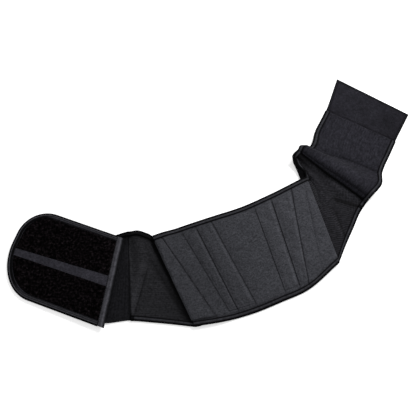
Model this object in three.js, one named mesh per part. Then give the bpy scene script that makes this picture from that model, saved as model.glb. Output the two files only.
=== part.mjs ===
// Lumbar support belt, lying open on a table with two bends in its length.
// Millimetres, +Z up. The back panel is in the middle, the closure tab is at the left (-X)
// and the loop end at the far right (+X, +Y). The origin is under the middle of the whole belt.
// Inner means the belt's upper edge, on the inside of the bends, and outer means its lower edge.

import * as THREE from "three";

// Lengths along the belt
const tabLength = 226;
const insertLength = 51.7;
const leftWingLength = 88.2;
const panelLength = 334.7;
const rightWingLength = 95.7;
const foldLength = 57.2;
const loopLength = 89.5;
const endTabLength = 81.7;

// Heights across the belt, over the bindings
const tabHeight = 180.4;
const panelHeight = 215;
const loopHeight = 165;

// Walls
const elasticThickness = 2;
const meshThickness = 1.6;
const loopThickness = 2.2;
const endTabThickness = 3;
const paddingThickness = 5;
const tapeThickness = 1;
const tapeLeg = 9;
const pocketThickness = 1.4;
const hookThickness = 1.8;
const clearance = 0.3;
const tapeGap = 0.5;
const seamGap = 0.6;

// Heights that the cloth stands up to, at the top of each wave
const wingWave = 20;
const foldWave = 32;
const stripWidth = 16;
const rollShare = 0.35;

// The closure tab and what is on it
const tabHeading = -20;
const tabEndSkew = 10.5;
const tabTopCorner = 60;
const tabLowCornerLength = 80;
const tabLowCornerHeight = 100;
const tabSeatShare = 0.571;
const tabSeatBack = 2.4;
const tabOverInsert = 45;
const hemWidth = 12.5;
const hemRidgeWidth = 3.5;
const hemRidgeHeight = 1.6;
const padMargin = 12;
const padGapAtRound = 16;
const padGapAtHem = 26;
const padGapDrop = 9.4;

// The back panel's laps over the wings, and the ramp beside each lap
const lapWidth = 12;
const lapSeat = 14;
const lapClearance = 1.2;
const panelEdgeMargin = 15;
const pocketInset = 1;
const pocketBevel = 3;
const pocketEdgeDrop = 1;

// How far from a line the surface's slope is read, and the steps between two sections
const slopeReach = 4;
const wingSteps = 3;
const foldSteps = 6;
const arcSteps = 10;

// Where the cloth lies over the table, and where the tape on it lies
const clothUnder = tapeThickness + tapeGap;
const tapeTop = clothUnder + elasticThickness + tapeGap + tapeThickness;
const lapLift = tapeTop + lapClearance;

// Sections of the belt, each reached by one step from the section before it, starting at the
// back panel. of: length of the piece that the step is in. run: share of that length. course: direction of the step, degrees from +X.
// cross: direction from the outer edge to the inner edge. tall: 0 is the height of the belt's
// end on that side, 1 is the panel's height. rise: height of the inner edge, the middle's pull
// and the outer edge, as shares of the wave on that side. turn: how far the strip along the inner
// edge is turned away from the line across, in degrees. wall: share of the inner edge's height
// that this strip comes down again by itself.
const PANEL_START = { of: 0, run: 0, course: 0, cross: 115.9, tall: 0.57, rise: [0.15, 0, 0] };
const PANEL_SECTIONS = [
  { of: panelLength, run: 0.18, course: 16.0, cross: 113.8, tall: 0.9, rise: [0, 0, 0] },
  { of: panelLength, run: 0.19, course: 17.6, cross: 112.5, tall: 1.0, rise: [0, 0, 0] },
  { of: panelLength, run: 0.187, course: 20.3, cross: 110.4, tall: 0.93, rise: [0, 0, 0] },
  { of: panelLength, run: 0.199, course: 24.8, cross: 108.3, tall: 0.96, rise: [0, 0, 0] },
  { of: panelLength, run: 0.244, course: 33.4, cross: 106.8, tall: 0.57, rise: [0, 0, 0] },
];
const LEFT_START = { ...PANEL_START, turn: -35 };
const LEFT_SECTIONS = [
  {
    of: leftWingLength, run: 0.321, course: -10.2, cross: 107.5, tall: 0.25,
    rise: [0.6, 0, 0], turn: -30,
  },
  {
    of: leftWingLength, run: 0.332, course: -7.2, cross: 100.2, tall: 0.07,
    rise: [1, 0, 0], turn: -18,
  },
  {
    of: leftWingLength, run: 0.347, course: -4.7, cross: 93.1, tall: -0.02,
    rise: [0.25, 0, 0], turn: -5,
  },
  { of: insertLength, run: 0.534, course: 5.4, cross: 81.1, tall: 0.2, rise: [0, 0, 0] },
  { of: insertLength, run: 0.466, course: 6.0, cross: 79.6, tall: -0.06, rise: [0, 0, 0] },
];
const RIGHT_START = { ...PANEL_SECTIONS.at(-1), of: 0, turn: 55 };
const RIGHT_SECTIONS = [
  {
    of: rightWingLength, run: 0.297, course: 76.9, cross: 116.8, tall: 0.24,
    rise: [0.22, 0, 0], turn: 85, wall: 0.6,
  },
  {
    of: rightWingLength, run: 0.254, course: 88.2, cross: 127.7, tall: 0.3,
    rise: [0.55, 0, 0], turn: 90, wall: 0.6,
  },
  {
    of: rightWingLength, run: 0.245, course: 81.1, cross: 139.0, tall: 0.33,
    rise: [0.8, 0, 0.03], turn: 45, wall: 0.5,
  },
  {
    of: rightWingLength, run: 0.204, course: 53.7, cross: 142.9, tall: 0.3,
    rise: [0.9, 0, 0.12], turn: 0, wall: 0.3,
  },
  { of: foldLength, run: 0.524, course: 43.7, cross: 152.2, tall: 0.31, rise: [1, 0.88, 0.81] },
  { of: foldLength, run: 0.476, course: 55.7, cross: 157.7, tall: -0.14, rise: [0.31, 0.12, 0.25] },
  { of: loopLength, run: 0.488, course: 67.0, cross: 160.1, tall: 0, rise: [0, 0, 0] },
  { of: loopLength, run: 0.512, course: 63.0, cross: 152.4, tall: -0.02, rise: [0, 0, 0] },
  { of: endTabLength, run: 1, course: 65.4, cross: 149.3, tall: 0.23, rise: [0, 0, 0] },
];
const PANEL_MIDDLE = 3;
const WING_END = 3;
const INSERT_SHOWS_FROM = 4;
const INSERT_END = 5;
const MESH_END = 4;
const LOOP_END = 8;
const BELT_END = 9;

// Rows along the belt, from its inner to its outer edge
const CLOTH_SPOTS = [
  { inner: 0 },
  { inner: tapeLeg },
  { inner: stripWidth },
  { share: 0.2 },
  { share: 0.35 },
  { share: 0.5 },
  { share: 0.65 },
  { share: 0.8 },
  { outer: tapeLeg },
  { outer: 0 },
];
const END_TAB_SPOTS = [{ inner: 0 }, { share: 0.25 }, { share: 0.5 }, { share: 0.75 }, { outer: 0 }];
const PAD_SPOTS = [{ share: 0.3 }, { share: 0.5 }, { share: 0.7 }];

// Lines across the back panel: shares of its length at the inner and at the outer edge.
const PANEL_LINES = [
  [0.085, 0.16],
  [0.12, 0.22],
  [0.18, 0.28],
  [0.27, 0.335],
  [0.37, 0.42],
  [0.5, 0.5],
  [0.62, 0.6],
  [0.75, 0.7],
  [0.86, 0.8],
  [0.9, 0.9],
];

// Stay pockets on the back panel: shares of the panel's length at its inner and outer edge.
const STAY_POCKETS = [
  { left: [0.168, 0.248], right: [0.251, 0.285] },
  { left: [0.259, 0.293], right: [0.349, 0.405] },
  { left: [0.632, 0.609], right: [0.734, 0.699] },
  { left: [0.742, 0.707], right: [0.882, 0.755] },
];

// Colours, as the cloth looks in daylight
const BRUSHED = { color: 0x36373c, roughness: 0.95 };
const POCKET = { color: 0x3a3b40, roughness: 0.95 };
const ELASTIC = { color: 0x222224, roughness: 0.85 };
const RIBBED = { color: 0x19191b, roughness: 0.9 };
const MESH_CLOTH = { color: 0x28282c, roughness: 0.8 };
const LOOP_CLOTH = { color: 0x2a292f, roughness: 0.95 };
const PLAIN_CLOTH = { color: 0x2b2a30, roughness: 0.85 };
const TAPE = { color: 0x242427, roughness: 0.75 };
const HOOKS = { color: 0x080607, roughness: 0.6 };

const radians = THREE.MathUtils.degToRad;
const mix = THREE.MathUtils.lerp;

function heading(degrees) {
  return new THREE.Vector2(Math.cos(radians(degrees)), Math.sin(radians(degrees)));
}

function smoothCurve(points) {
  const spatial = points.map((point) => new THREE.Vector3(point.x, point.y, 0));
  return new THREE.CatmullRomCurve3(spatial, false, "centripetal");
}

// A run of sections, walked from its first middle point, forward along the belt when way is 1.
// endHeight gives the belt's height at the end that a section looks to.
function walkSections(centre, rows, endHeight, wave, way) {
  const chain = { inner: [], outer: [], rises: [], marks: [] };
  const here = centre.clone();
  let mark = 0;
  rows.forEach((row, index) => {
    const step = row.of * row.run;
    here.addScaledVector(heading(row.course), way * step);
    mark += step;
    const half = heading(row.cross).multiplyScalar(mix(endHeight(index), panelHeight, row.tall) / 2);
    chain.inner.push(here.clone().add(half));
    chain.outer.push(here.clone().sub(half));
    chain.rises.push([...row.rise.map((share) => share * wave), row.turn ?? 0, row.wall ?? 0]);
    chain.marks.push(mark);
  });
  chain.middle = here;
  chain.innerCurve = smoothCurve(chain.inner);
  chain.outerCurve = smoothCurve(chain.outer);
  return chain;
}

function edgePoint(curve, place) {
  const point = curve.getPoint(place / (curve.points.length - 1));
  return new THREE.Vector2(point.x, point.y);
}

// The section number, with its fraction, at a distance from the chain's start.
function placeAt(chain, distance) {
  const last = chain.marks.length - 1;
  const within = THREE.MathUtils.clamp(distance, 0, chain.marks[last]);
  let index = 0;
  while (index < last - 1 && chain.marks[index + 1] < within) {
    index += 1;
  }
  return index + (within - chain.marks[index]) / (chain.marks[index + 1] - chain.marks[index]);
}

function riseAt(chain, place) {
  const index = Math.min(Math.floor(place), chain.rises.length - 2);
  const share = THREE.MathUtils.smoothstep(place - index, 0, 1);
  return chain.rises[index].map((rise, side) => mix(rise, chain.rises[index + 1][side], share));
}

function bareColumn(chain, innerDistance, outerDistance) {
  const innerPlace = placeAt(chain, innerDistance);
  const outerPlace = placeAt(chain, outerDistance);
  const innerRise = riseAt(chain, innerPlace);
  const outerRise = riseAt(chain, outerPlace);
  return {
    inner: edgePoint(chain.innerCurve, innerPlace),
    outer: edgePoint(chain.outerCurve, outerPlace),
    rise: [innerRise[0], (innerRise[1] + outerRise[1]) / 2, outerRise[2]],
    turn: innerRise[3],
    wall: innerRise[4],
  };
}

// A line across the belt, with its neighbours to read the slope from.
// lift raises the cloth there, and crown makes it thicker on top.
function column(chain, innerDistance, outerDistance = innerDistance, lift = 0, crown = 0) {
  const made = bareColumn(chain, innerDistance, outerDistance);
  made.before = bareColumn(chain, innerDistance - slopeReach, outerDistance - slopeReach);
  made.after = bareColumn(chain, innerDistance + slopeReach, outerDistance + slopeReach);
  made.lift = lift;
  made.crown = crown;
  return made;
}

// Columns between two sections of a chain, with a number of equal steps in each section.
function columnsBetween(chain, from, to, steps, startGap = 0, endGap = 0) {
  const made = [];
  for (let section = from; section < to; section += 1) {
    for (let step = section === from ? 0 : 1; step <= steps; step += 1) {
      let distance = mix(chain.marks[section], chain.marks[section + 1], step / steps);
      if (section === from && step === 0) {
        distance += startGap;
      }
      if (section === to - 1 && step === steps) {
        distance -= endGap;
      }
      made.push(column(chain, distance));
    }
  }
  return made;
}

// Distance from the inner edge of a spot given from the inner edge, the outer edge or as a share.
function distanceAcross(line, spot) {
  const tall = line.inner.distanceTo(line.outer);
  if (spot.inner !== undefined) {
    return spot.inner;
  }
  if (spot.outer !== undefined) {
    return tall - spot.outer;
  }
  return spot.share * tall;
}

function basePoint(line, across) {
  const tall = line.inner.distanceTo(line.outer);
  const strip = line.outer.clone().sub(line.inner).normalize()
    .rotateAround(new THREE.Vector2(0, 0), radians(line.turn));
  const knee = line.inner.clone().addScaledVector(strip, stripWidth);
  const plan = across < stripWidth
    ? line.inner.clone().addScaledVector(strip, across)
    : knee.lerp(line.outer, (across - stripWidth) / (tall - stripWidth));
  const share = across / tall;
  const rest = 1 - share;
  const nearEdge = Math.max(0, 1 - across / stripWidth) ** 2;
  const innerWave = line.rise[0] * mix(rest * rest, nearEdge, line.wall);
  const wave = innerWave + 2 * line.rise[1] * rest * share + line.rise[2] * share * share;
  const roll = nearEdge * rollShare * line.rise[0] * (1 - line.wall);
  return new THREE.Vector3(plan.x, plan.y, wave - roll);
}

function surfacePoint(line, spot, offset) {
  const across = distanceAcross(line, spot);
  const point = basePoint(line, across);
  const along = basePoint(line.after, distanceAcross(line.after, spot))
    .sub(basePoint(line.before, distanceAcross(line.before, spot)));
  const down = basePoint(line, across + 1).sub(basePoint(line, across - 1));
  const normal = down.cross(along).normalize();
  if (normal.z < 0) {
    normal.negate();
  }
  return point.addScaledVector(normal, offset + line.lift);
}

function closedGeometry(points, faces) {
  let volume = 0;
  for (const [a, b, c] of faces) {
    volume += points[a].dot(points[b].clone().cross(points[c]));
  }
  const outward = volume > 0 ? faces : faces.map(([a, b, c]) => [a, c, b]);
  const geometry = new THREE.BufferGeometry();
  geometry.setAttribute("position", new THREE.Float32BufferAttribute(points.flatMap((p) => p.toArray()), 3));
  geometry.setIndex(outward.flat());
  return geometry;
}

// Cloth between the given lines across the belt. Each row says where it is and what it fills.
function clothBody(lines, rows) {
  const points = [];
  for (const side of ["over", "under"]) {
    for (const line of lines) {
      for (const row of rows) {
        const crown = side === "over" ? line.crown : 0;
        points.push(surfacePoint(line, row, row[side] + crown));
      }
    }
  }
  const tall = rows.length;
  const below = lines.length * tall;
  const at = (i, j) => i * tall + j;
  const faces = [];
  for (let i = 0; i < lines.length - 1; i += 1) {
    for (let j = 0; j < tall - 1; j += 1) {
      const corners = [at(i, j), at(i, j + 1), at(i + 1, j + 1), at(i + 1, j)];
      faces.push([corners[0], corners[1], corners[2]], [corners[0], corners[2], corners[3]]);
      const [a, b, c, d] = corners.map((corner) => corner + below);
      faces.push([a, c, b], [a, d, c]);
    }
  }
  const rim = [];
  for (let j = 0; j < tall - 1; j += 1) {
    rim.push(at(0, j));
  }
  for (let i = 0; i < lines.length - 1; i += 1) {
    rim.push(at(i, tall - 1));
  }
  for (let j = tall - 1; j > 0; j -= 1) {
    rim.push(at(lines.length - 1, j));
  }
  for (let i = lines.length - 1; i > 0; i -= 1) {
    rim.push(at(i, 0));
  }
  rim.forEach((a, index) => {
    const b = rim[(index + 1) % rim.length];
    faces.push([a, a + below, b + below], [a, b + below, b]);
  });
  return closedGeometry(points, faces);
}

// A solid swept through rings of points, with the section's outline closing its two ends.
// Its squares are split along the same diagonals as those of the cloth that it is folded round.
function sweptBody(rings, section, edge = "inner") {
  const size = section.length;
  const faces = [];
  for (let ring = 0; ring < rings.length - 1; ring += 1) {
    for (let side = 0; side < size; side += 1) {
      const next = (side + 1) % size;
      const a = ring * size + side;
      const b = ring * size + next;
      const inward = section[next][0] >= section[side][0];
      if (inward === (edge === "inner")) {
        faces.push([a, b, b + size], [a, b + size, a + size]);
      } else {
        faces.push([a, b, a + size], [b, b + size, a + size]);
      }
    }
  }
  const outline = section.map(([across, up]) => new THREE.Vector2(across, up));
  const flip = THREE.ShapeUtils.isClockWise(outline);
  const last = (rings.length - 1) * size;
  for (const [a, b, c] of THREE.ShapeUtils.triangulateShape(outline, [])) {
    faces.push(flip ? [a, b, c] : [a, c, b], flip ? [a + last, c + last, b + last] : [a + last, b + last, c + last]);
  }
  return closedGeometry(rings.flat(), faces);
}

// Tape folded round an edge: distance from the edge, then height.
function tapeSection(clothThickness, leg = tapeLeg) {
  const top = clothUnder + clothThickness + tapeGap;
  return [
    [leg, 0],
    [-tapeGap - tapeThickness / 2, 0],
    [-tapeGap - tapeThickness, tapeThickness],
    [-tapeGap - tapeThickness, top],
    [-tapeGap - tapeThickness / 2, top + tapeThickness],
    [leg, top + tapeThickness],
    [leg, top],
    [0, top],
    [-tapeGap, top],
    [-tapeGap, tapeThickness],
    [0, tapeThickness],
    [leg, tapeThickness],
  ];
}

function bindingBody(lines, edge, clothThickness) {
  const section = tapeSection(clothThickness);
  const rings = lines.map((line) =>
    section.map(([across, up]) => surfacePoint(line, { [edge]: across }, up)));
  return sweptBody(rings, section, edge);
}

function rowsOf(spots, under, thickness) {
  return spots.map((spot) => ({ ...spot, under, over: under + thickness }));
}

const POCKET_ROWS = rowsOf(
  [{ inner: panelEdgeMargin + pocketInset }, ...PAD_SPOTS, { outer: panelEdgeMargin + pocketInset }],
  paddingThickness + clearance, pocketThickness);

function material(look) {
  return new THREE.MeshStandardMaterial({ ...look, metalness: 0 });
}

function piece(name, geometry, look) {
  const mesh = new THREE.Mesh(geometry, material(look));
  mesh.name = name;
  return mesh;
}

// The three runs of sections that the belt is made of
const panelChain = walkSections(
  new THREE.Vector2(0, 0), [PANEL_START, ...PANEL_SECTIONS],
  (index) => (index < PANEL_MIDDLE ? tabHeight : loopHeight), wingWave, 1);
const leftChain = walkSections(
  new THREE.Vector2(0, 0), [LEFT_START, ...LEFT_SECTIONS], () => tabHeight, wingWave, -1);
const rightChain = walkSections(
  panelChain.middle, [RIGHT_START, ...RIGHT_SECTIONS], () => loopHeight, foldWave, 1);

function panelColumn(innerShare, outerShare, lift = 0, crown = 0) {
  return column(panelChain, innerShare * panelLength, outerShare * panelLength, lift, crown);
}

// The part of a wing that lies under the panel's end, and the line where it comes out, which
// takes its slope from the panel's side too.
function tuckedUnder(lines, panelDistance, slopeDistance) {
  lines[0].before = bareColumn(panelChain, slopeDistance, slopeDistance);
  return [column(panelChain, panelDistance), ...lines];
}

function backPanel() {
  const lap = lapSeat / panelLength;
  const lines = [
    panelColumn(0, 0, lapLift),
    panelColumn(lap, lap, lapLift),
    ...PANEL_LINES.map(([inner, outer]) => panelColumn(inner, outer)),
    panelColumn(1 - lap, 1 - lap, lapLift),
    panelColumn(1, 1, lapLift),
  ];
  const padEdges = [{ inner: panelEdgeMargin }, ...PAD_SPOTS, { outer: panelEdgeMargin }];
  const rows = [
    ...rowsOf([{ inner: 0 }, { inner: tapeLeg }], clothUnder, elasticThickness),
    ...rowsOf(padEdges, 0, paddingThickness),
    ...rowsOf([{ outer: tapeLeg }, { outer: 0 }], clothUnder, elasticThickness),
  ];
  return [
    piece("lumbar_panel", clothBody(lines, rows), BRUSHED),
    piece("panel_upper_binding", bindingBody(lines, "inner", elasticThickness), TAPE),
    piece("panel_lower_binding", bindingBody(lines, "outer", elasticThickness), TAPE),
    piece("panel_hem_band", clothBody(lines.slice(0, 3), POCKET_ROWS), POCKET),
    ...STAY_POCKETS.map((pocket, index) => stayPocket(pocket, index + 1)),
  ];
}

function stayPocket(pocket, number) {
  const bevel = pocketBevel / panelLength;
  const lines = [
    panelColumn(pocket.left[0], pocket.left[1], 0, -pocketEdgeDrop),
    panelColumn(pocket.left[0] + bevel, pocket.left[1] + bevel),
    panelColumn(pocket.right[0] - bevel, pocket.right[1] - bevel),
    panelColumn(pocket.right[0], pocket.right[1], 0, -pocketEdgeDrop),
  ];
  return piece(`stay_pocket_${number}`, clothBody(lines, POCKET_ROWS), POCKET);
}

function leftSide() {
  const shownLines = columnsBetween(leftChain, 0, WING_END, wingSteps, 0, seamGap / 2);
  const wing = tuckedUnder(shownLines, lapWidth, slopeReach);
  const insertLines = columnsBetween(leftChain, WING_END, INSERT_END, wingSteps, seamGap / 2);
  const insertAndWing = [...wing, ...insertLines];
  const rows = rowsOf(CLOTH_SPOTS, clothUnder, elasticThickness);
  return [
    piece("stretch_insert", clothBody(insertLines, rows), RIBBED),
    piece("left_wing", clothBody(wing, rows), ELASTIC),
    piece("left_wing_upper_binding", bindingBody(insertAndWing, "inner", elasticThickness), TAPE),
    piece("left_wing_lower_binding", bindingBody(wing, "outer", elasticThickness), TAPE),
  ];
}

function rightSide() {
  const shownLines = columnsBetween(rightChain, 0, MESH_END, wingSteps, 0, seamGap / 2);
  const wingLines = tuckedUnder(shownLines, panelLength - lapWidth, panelLength - slopeReach);
  const loopLines = columnsBetween(rightChain, MESH_END, LOOP_END, foldSteps, seamGap / 2, seamGap / 2);
  const endLines = columnsBetween(rightChain, LOOP_END, BELT_END, wingSteps, seamGap / 2);
  const meshRows = rowsOf(CLOTH_SPOTS, clothUnder, meshThickness);
  const loopRows = rowsOf(CLOTH_SPOTS, clothUnder, loopThickness);
  const endRows = rowsOf(END_TAB_SPOTS, 0, endTabThickness);
  return [
    piece("right_wing", clothBody(wingLines, meshRows), MESH_CLOTH),
    piece("right_wing_upper_binding", bindingBody(wingLines, "inner", elasticThickness), TAPE),
    piece("right_wing_lower_binding", bindingBody(wingLines, "outer", elasticThickness), TAPE),
    piece("loop_panel", clothBody(loopLines, loopRows), LOOP_CLOTH),
    piece("loop_panel_left_binding", bindingBody(loopLines, "inner", loopThickness), TAPE),
    piece("loop_panel_right_binding", bindingBody(loopLines, "outer", loopThickness), TAPE),
    piece("end_tab", clothBody(endLines, endRows), PLAIN_CLOTH),
  ];
}

// The tab's outline in its own directions: +X towards the insert, +Y towards the inner edge,
// moved inward by inset. end is where its straight end crosses the middle line.
function tabOutline(inset, end) {
  const half = tabHeight / 2 - inset;
  const round = -tabLength + inset;
  const slant = Math.tan(radians(tabEndSkew));
  const top = tabTopCorner - inset;
  const lowLength = tabLowCornerLength - inset;
  const lowHeight = tabLowCornerHeight - inset;
  const path = new THREE.Path();
  path.moveTo(end - slant * half, half);
  path.lineTo(round + top, half);
  path.absellipse(round + top, half - top, top, top, Math.PI / 2, Math.PI, false, 0);
  path.lineTo(round, lowHeight - half);
  path.absellipse(round + lowLength, lowHeight - half, lowLength, lowHeight, Math.PI, Math.PI * 1.5, false, 0);
  path.lineTo(end + slant * half, -half);
  return path.getPoints(arcSteps);
}

function plate(outline, low, high) {
  const shape = new THREE.Shape(outline);
  const geometry = new THREE.ExtrudeGeometry(shape, { depth: high - low, bevelEnabled: false, steps: 1 });
  geometry.translate(0, 0, low);
  return geometry;
}

// The outline's part on one side of a sloping line, at or above it when way is 1.
function cutBelow(outline, height, way) {
  const side = (point) => way * (point.y - height(point.x));
  const kept = [];
  outline.forEach((point, index) => {
    const next = outline[(index + 1) % outline.length];
    const here = side(point);
    const there = side(next);
    if (here >= 0) {
      kept.push(point);
    }
    if ((here >= 0) !== (there >= 0)) {
      kept.push(point.clone().lerp(next, here / (here - there)));
    }
  });
  return kept;
}

function tabBinding() {
  const slant = Math.tan(radians(tabEndSkew));
  const end = -hemWidth - clearance;
  const edge = tabOutline(0, end);
  const section = tapeSection(elasticThickness);
  const rings = edge.map((point, index) => {
    const before = edge[Math.max(index - 1, 0)];
    const after = edge[Math.min(index + 1, edge.length - 1)];
    const along = after.clone().sub(before).normalize();
    const inward = new THREE.Vector2(-along.y, along.x);
    if (index === 0) {
      inward.set(slant, -1);
    } else if (index === edge.length - 1) {
      inward.set(-slant, 1);
    }
    return section.map(([across, up]) =>
      new THREE.Vector3(point.x + inward.x * across, point.y + inward.y * across, up));
  });
  return sweptBody(rings, section);
}

function tabHem() {
  const slant = Math.tan(radians(tabEndSkew));
  const plain = tapeSection(elasticThickness, hemWidth);
  const crest = plain[5][1] + hemRidgeHeight;
  const section = [
    ...plain.slice(0, 4),
    [plain[4][0], crest],
    [hemRidgeWidth, crest],
    [hemRidgeWidth + hemRidgeHeight, plain[5][1]],
    ...plain.slice(5),
  ];
  const rings = [tabHeight / 2, -tabHeight / 2].map((y) =>
    section.map(([across, up]) => new THREE.Vector3(-slant * y - across, y, up)));
  return sweptBody(rings, section);
}

function closureTab() {
  const tab = new THREE.Group();
  const end = column(leftChain, leftChain.marks[INSERT_SHOWS_FROM]);
  const seat = end.inner.clone().lerp(end.outer, tabSeatShare)
    .addScaledVector(heading(tabHeading), -tabSeatBack);
  const tilt = Math.atan((tapeTop + clearance) / (tabLength - tabOverInsert));
  tab.position.set(seat.x, seat.y, Math.tan(tilt) * tabLength);
  tab.rotation.set(0, -tilt, radians(tabHeading), "ZYX");

  const cloth = tabOutline(0, 0);
  const padTop = clothUnder + elasticThickness + clearance;
  const padOutline = tabOutline(padMargin, -hemWidth - clearance);
  const gapLine = (x, sign) => {
    const share = -x / tabLength;
    return mix(0, -padGapDrop, share) + sign * mix(padGapAtHem, padGapAtRound, share) / 2;
  };
  const upper = cutBelow(padOutline, (x) => gapLine(x, 1), 1);
  const lower = cutBelow(padOutline, (x) => gapLine(x, -1), -1);
  tab.add(
    piece("closure_tab", plate(cloth, clothUnder, clothUnder + elasticThickness), PLAIN_CLOTH),
    piece("tab_binding", tabBinding(), TAPE),
    piece("tab_hem", tabHem(), TAPE),
    piece("hook_pad_upper", plate(upper, padTop, padTop + hookThickness), HOOKS),
    piece("hook_pad_lower", plate(lower, padTop, padTop + hookThickness), HOOKS),
  );
  return tab;
}

const belt = new THREE.Group();
belt.add(...backPanel(), ...leftSide(), ...rightSide(), closureTab());

// The origin goes under the middle of the belt, on the table.
const group = new THREE.Group();
group.add(belt);
group.updateMatrixWorld(true);
const extent = new THREE.Box3().setFromObject(belt, true);
const middle = extent.getCenter(new THREE.Vector3());
belt.position.set(-middle.x, -middle.y, -extent.min.z);

export default group;
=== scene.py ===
"""Lumbar support belt lying open: fine cloth, tape, padding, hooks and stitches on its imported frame."""
import math
from collections import namedtuple

import bpy
import numpy as np
from mathutils import Euler, Matrix, Vector


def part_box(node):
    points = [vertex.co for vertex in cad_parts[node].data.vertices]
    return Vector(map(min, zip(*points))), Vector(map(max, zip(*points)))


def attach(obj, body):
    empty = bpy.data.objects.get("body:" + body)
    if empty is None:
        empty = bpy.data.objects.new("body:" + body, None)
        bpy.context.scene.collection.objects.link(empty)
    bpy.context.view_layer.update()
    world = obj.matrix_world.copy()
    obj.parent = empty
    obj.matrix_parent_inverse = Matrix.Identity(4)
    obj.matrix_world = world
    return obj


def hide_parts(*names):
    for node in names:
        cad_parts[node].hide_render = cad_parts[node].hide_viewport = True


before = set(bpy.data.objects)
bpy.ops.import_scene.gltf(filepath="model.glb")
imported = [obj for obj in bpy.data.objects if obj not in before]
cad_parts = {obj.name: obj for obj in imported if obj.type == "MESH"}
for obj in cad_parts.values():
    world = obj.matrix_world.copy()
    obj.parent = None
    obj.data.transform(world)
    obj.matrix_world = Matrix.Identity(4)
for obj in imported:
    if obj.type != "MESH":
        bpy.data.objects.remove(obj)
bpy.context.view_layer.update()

random = np.random.default_rng(7)
MM = 0.001

# Lengths along the belt and heights across it
TAB_LENGTH = 0.226
INSERT_LENGTH = 0.0517
LEFT_WING_LENGTH = 0.0882
PANEL_LENGTH = 0.3347
RIGHT_WING_LENGTH = 0.0957
FOLD_LENGTH = 0.0572
LOOP_LENGTH = 0.0895
END_TAB_LENGTH = 0.0817
TAB_HEIGHT = 0.1804
PANEL_HEIGHT = 0.215
LOOP_HEIGHT = 0.165

# Walls and gaps
ELASTIC = 2 * MM
MESH_CLOTH = 1.6 * MM
LOOP_CLOTH = 2.2 * MM
END_TAB = 3 * MM
PADDING = 5 * MM
TAPE = 1 * MM
TAPE_LEG = 9 * MM
CLEARANCE = 0.3 * MM
TAPE_GAP = 0.5 * MM
CLOTH_UNDER = TAPE + TAPE_GAP

# Waves of the cloth, and how steep it may stand where it turns over
WING_WAVE = 0.020
FOLD_WAVE = 0.032
STRIP_WIDTH = 0.016
ROLL_SHARE = 0.35
LEAST_UPRIGHT = 0.25

# The closure tab and what is on it
TAB_HEADING = -20
TAB_END_SLANT = math.tan(math.radians(10.5))
TAB_TOP_CORNER = 0.060
TAB_LOW_CORNER_LENGTH = 0.080
TAB_LOW_CORNER_HEIGHT = 0.100
TAB_SEAT_SHARE = 0.571
TAB_SEAT_BACK = 2.4 * MM
TAB_OVER_INSERT = 0.045
HEM_WIDTH = 12.5 * MM
TAB_COVER_END = -HEM_WIDTH - CLEARANCE
PAD_MARGIN = 0.010
PAD_GAP_AT_ROUND = 0.0145
PAD_GAP_AT_HEM = 0.022
PAD_GAP_DROP = 9.4 * MM
PAD_GAP_SHIFT = 1.5 * MM
PAD_BASE = 0.9 * MM

# The panel's laps over the wings
LAP_WIDTH = 0.012
LAP_SEAT = 0.014
LAP_CLEARANCE = 1.2 * MM
PANEL_EDGE_MARGIN = 0.015
TAPE_TOP = CLOTH_UNDER + ELASTIC + TAPE_GAP + TAPE
LAP_LIFT = TAPE_TOP + LAP_CLEARANCE

# Sections of the belt, each one step on from the one before it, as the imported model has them.
# of: length of the piece that the step is in. run: share of it. course: direction of the step.
# cross: direction from outer to inner edge. tall: 0 is the end's height, 1 is the panel's.
# rise: the wave at the inner edge, middle and outer edge. turn and wall shape the inner edge.
Row = namedtuple("Row", "of run course cross tall rise turn wall", defaults=((0, 0, 0), 0.0, 0.0))
PANEL_ROWS = [
    Row(0.0, 0.0, 0.0, 115.9, 0.57, (0.15, 0, 0)),
    Row(PANEL_LENGTH, 0.18, 16.0, 113.8, 0.9),
    Row(PANEL_LENGTH, 0.19, 17.6, 112.5, 1.0),
    Row(PANEL_LENGTH, 0.187, 20.3, 110.4, 0.93),
    Row(PANEL_LENGTH, 0.199, 24.8, 108.3, 0.96),
    Row(PANEL_LENGTH, 0.244, 33.4, 106.8, 0.57),
]
LEFT_ROWS = [
    PANEL_ROWS[0]._replace(turn=-35),
    Row(LEFT_WING_LENGTH, 0.321, -10.2, 107.5, 0.25, (0.6, 0, 0), -30),
    Row(LEFT_WING_LENGTH, 0.332, -7.2, 100.2, 0.07, (1, 0, 0), -18),
    Row(LEFT_WING_LENGTH, 0.347, -4.7, 93.1, -0.02, (0.25, 0, 0), -5),
    Row(INSERT_LENGTH, 0.534, 5.4, 81.1, 0.2),
    Row(INSERT_LENGTH, 0.466, 6.0, 79.6, -0.06),
]
RIGHT_ROWS = [
    PANEL_ROWS[-1]._replace(of=0.0, turn=55),
    Row(RIGHT_WING_LENGTH, 0.297, 76.9, 116.8, 0.24, (0.22, 0, 0), 85, 0.6),
    Row(RIGHT_WING_LENGTH, 0.254, 88.2, 127.7, 0.3, (0.55, 0, 0), 90, 0.6),
    Row(RIGHT_WING_LENGTH, 0.245, 81.1, 139.0, 0.33, (0.8, 0, 0.03), 45, 0.5),
    Row(RIGHT_WING_LENGTH, 0.204, 53.7, 142.9, 0.3, (0.9, 0, 0.12), 0, 0.3),
    Row(FOLD_LENGTH, 0.524, 43.7, 152.2, 0.31, (1, 0.88, 0.81)),
    Row(FOLD_LENGTH, 0.476, 55.7, 157.7, -0.14, (0.31, 0.12, 0.25)),
    Row(LOOP_LENGTH, 0.488, 67.0, 160.1, 0),
    Row(LOOP_LENGTH, 0.512, 63.0, 152.4, -0.02),
    Row(END_TAB_LENGTH, 1.0, 65.4, 149.3, 0.23),
]
PANEL_MIDDLE = 3
WING_END = 3
INSERT_SHOWS_FROM = 4
INSERT_END = 5
POCKET_START = 2
MESH_END = 4
LOOP_END = 8
BELT_END = 9

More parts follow.
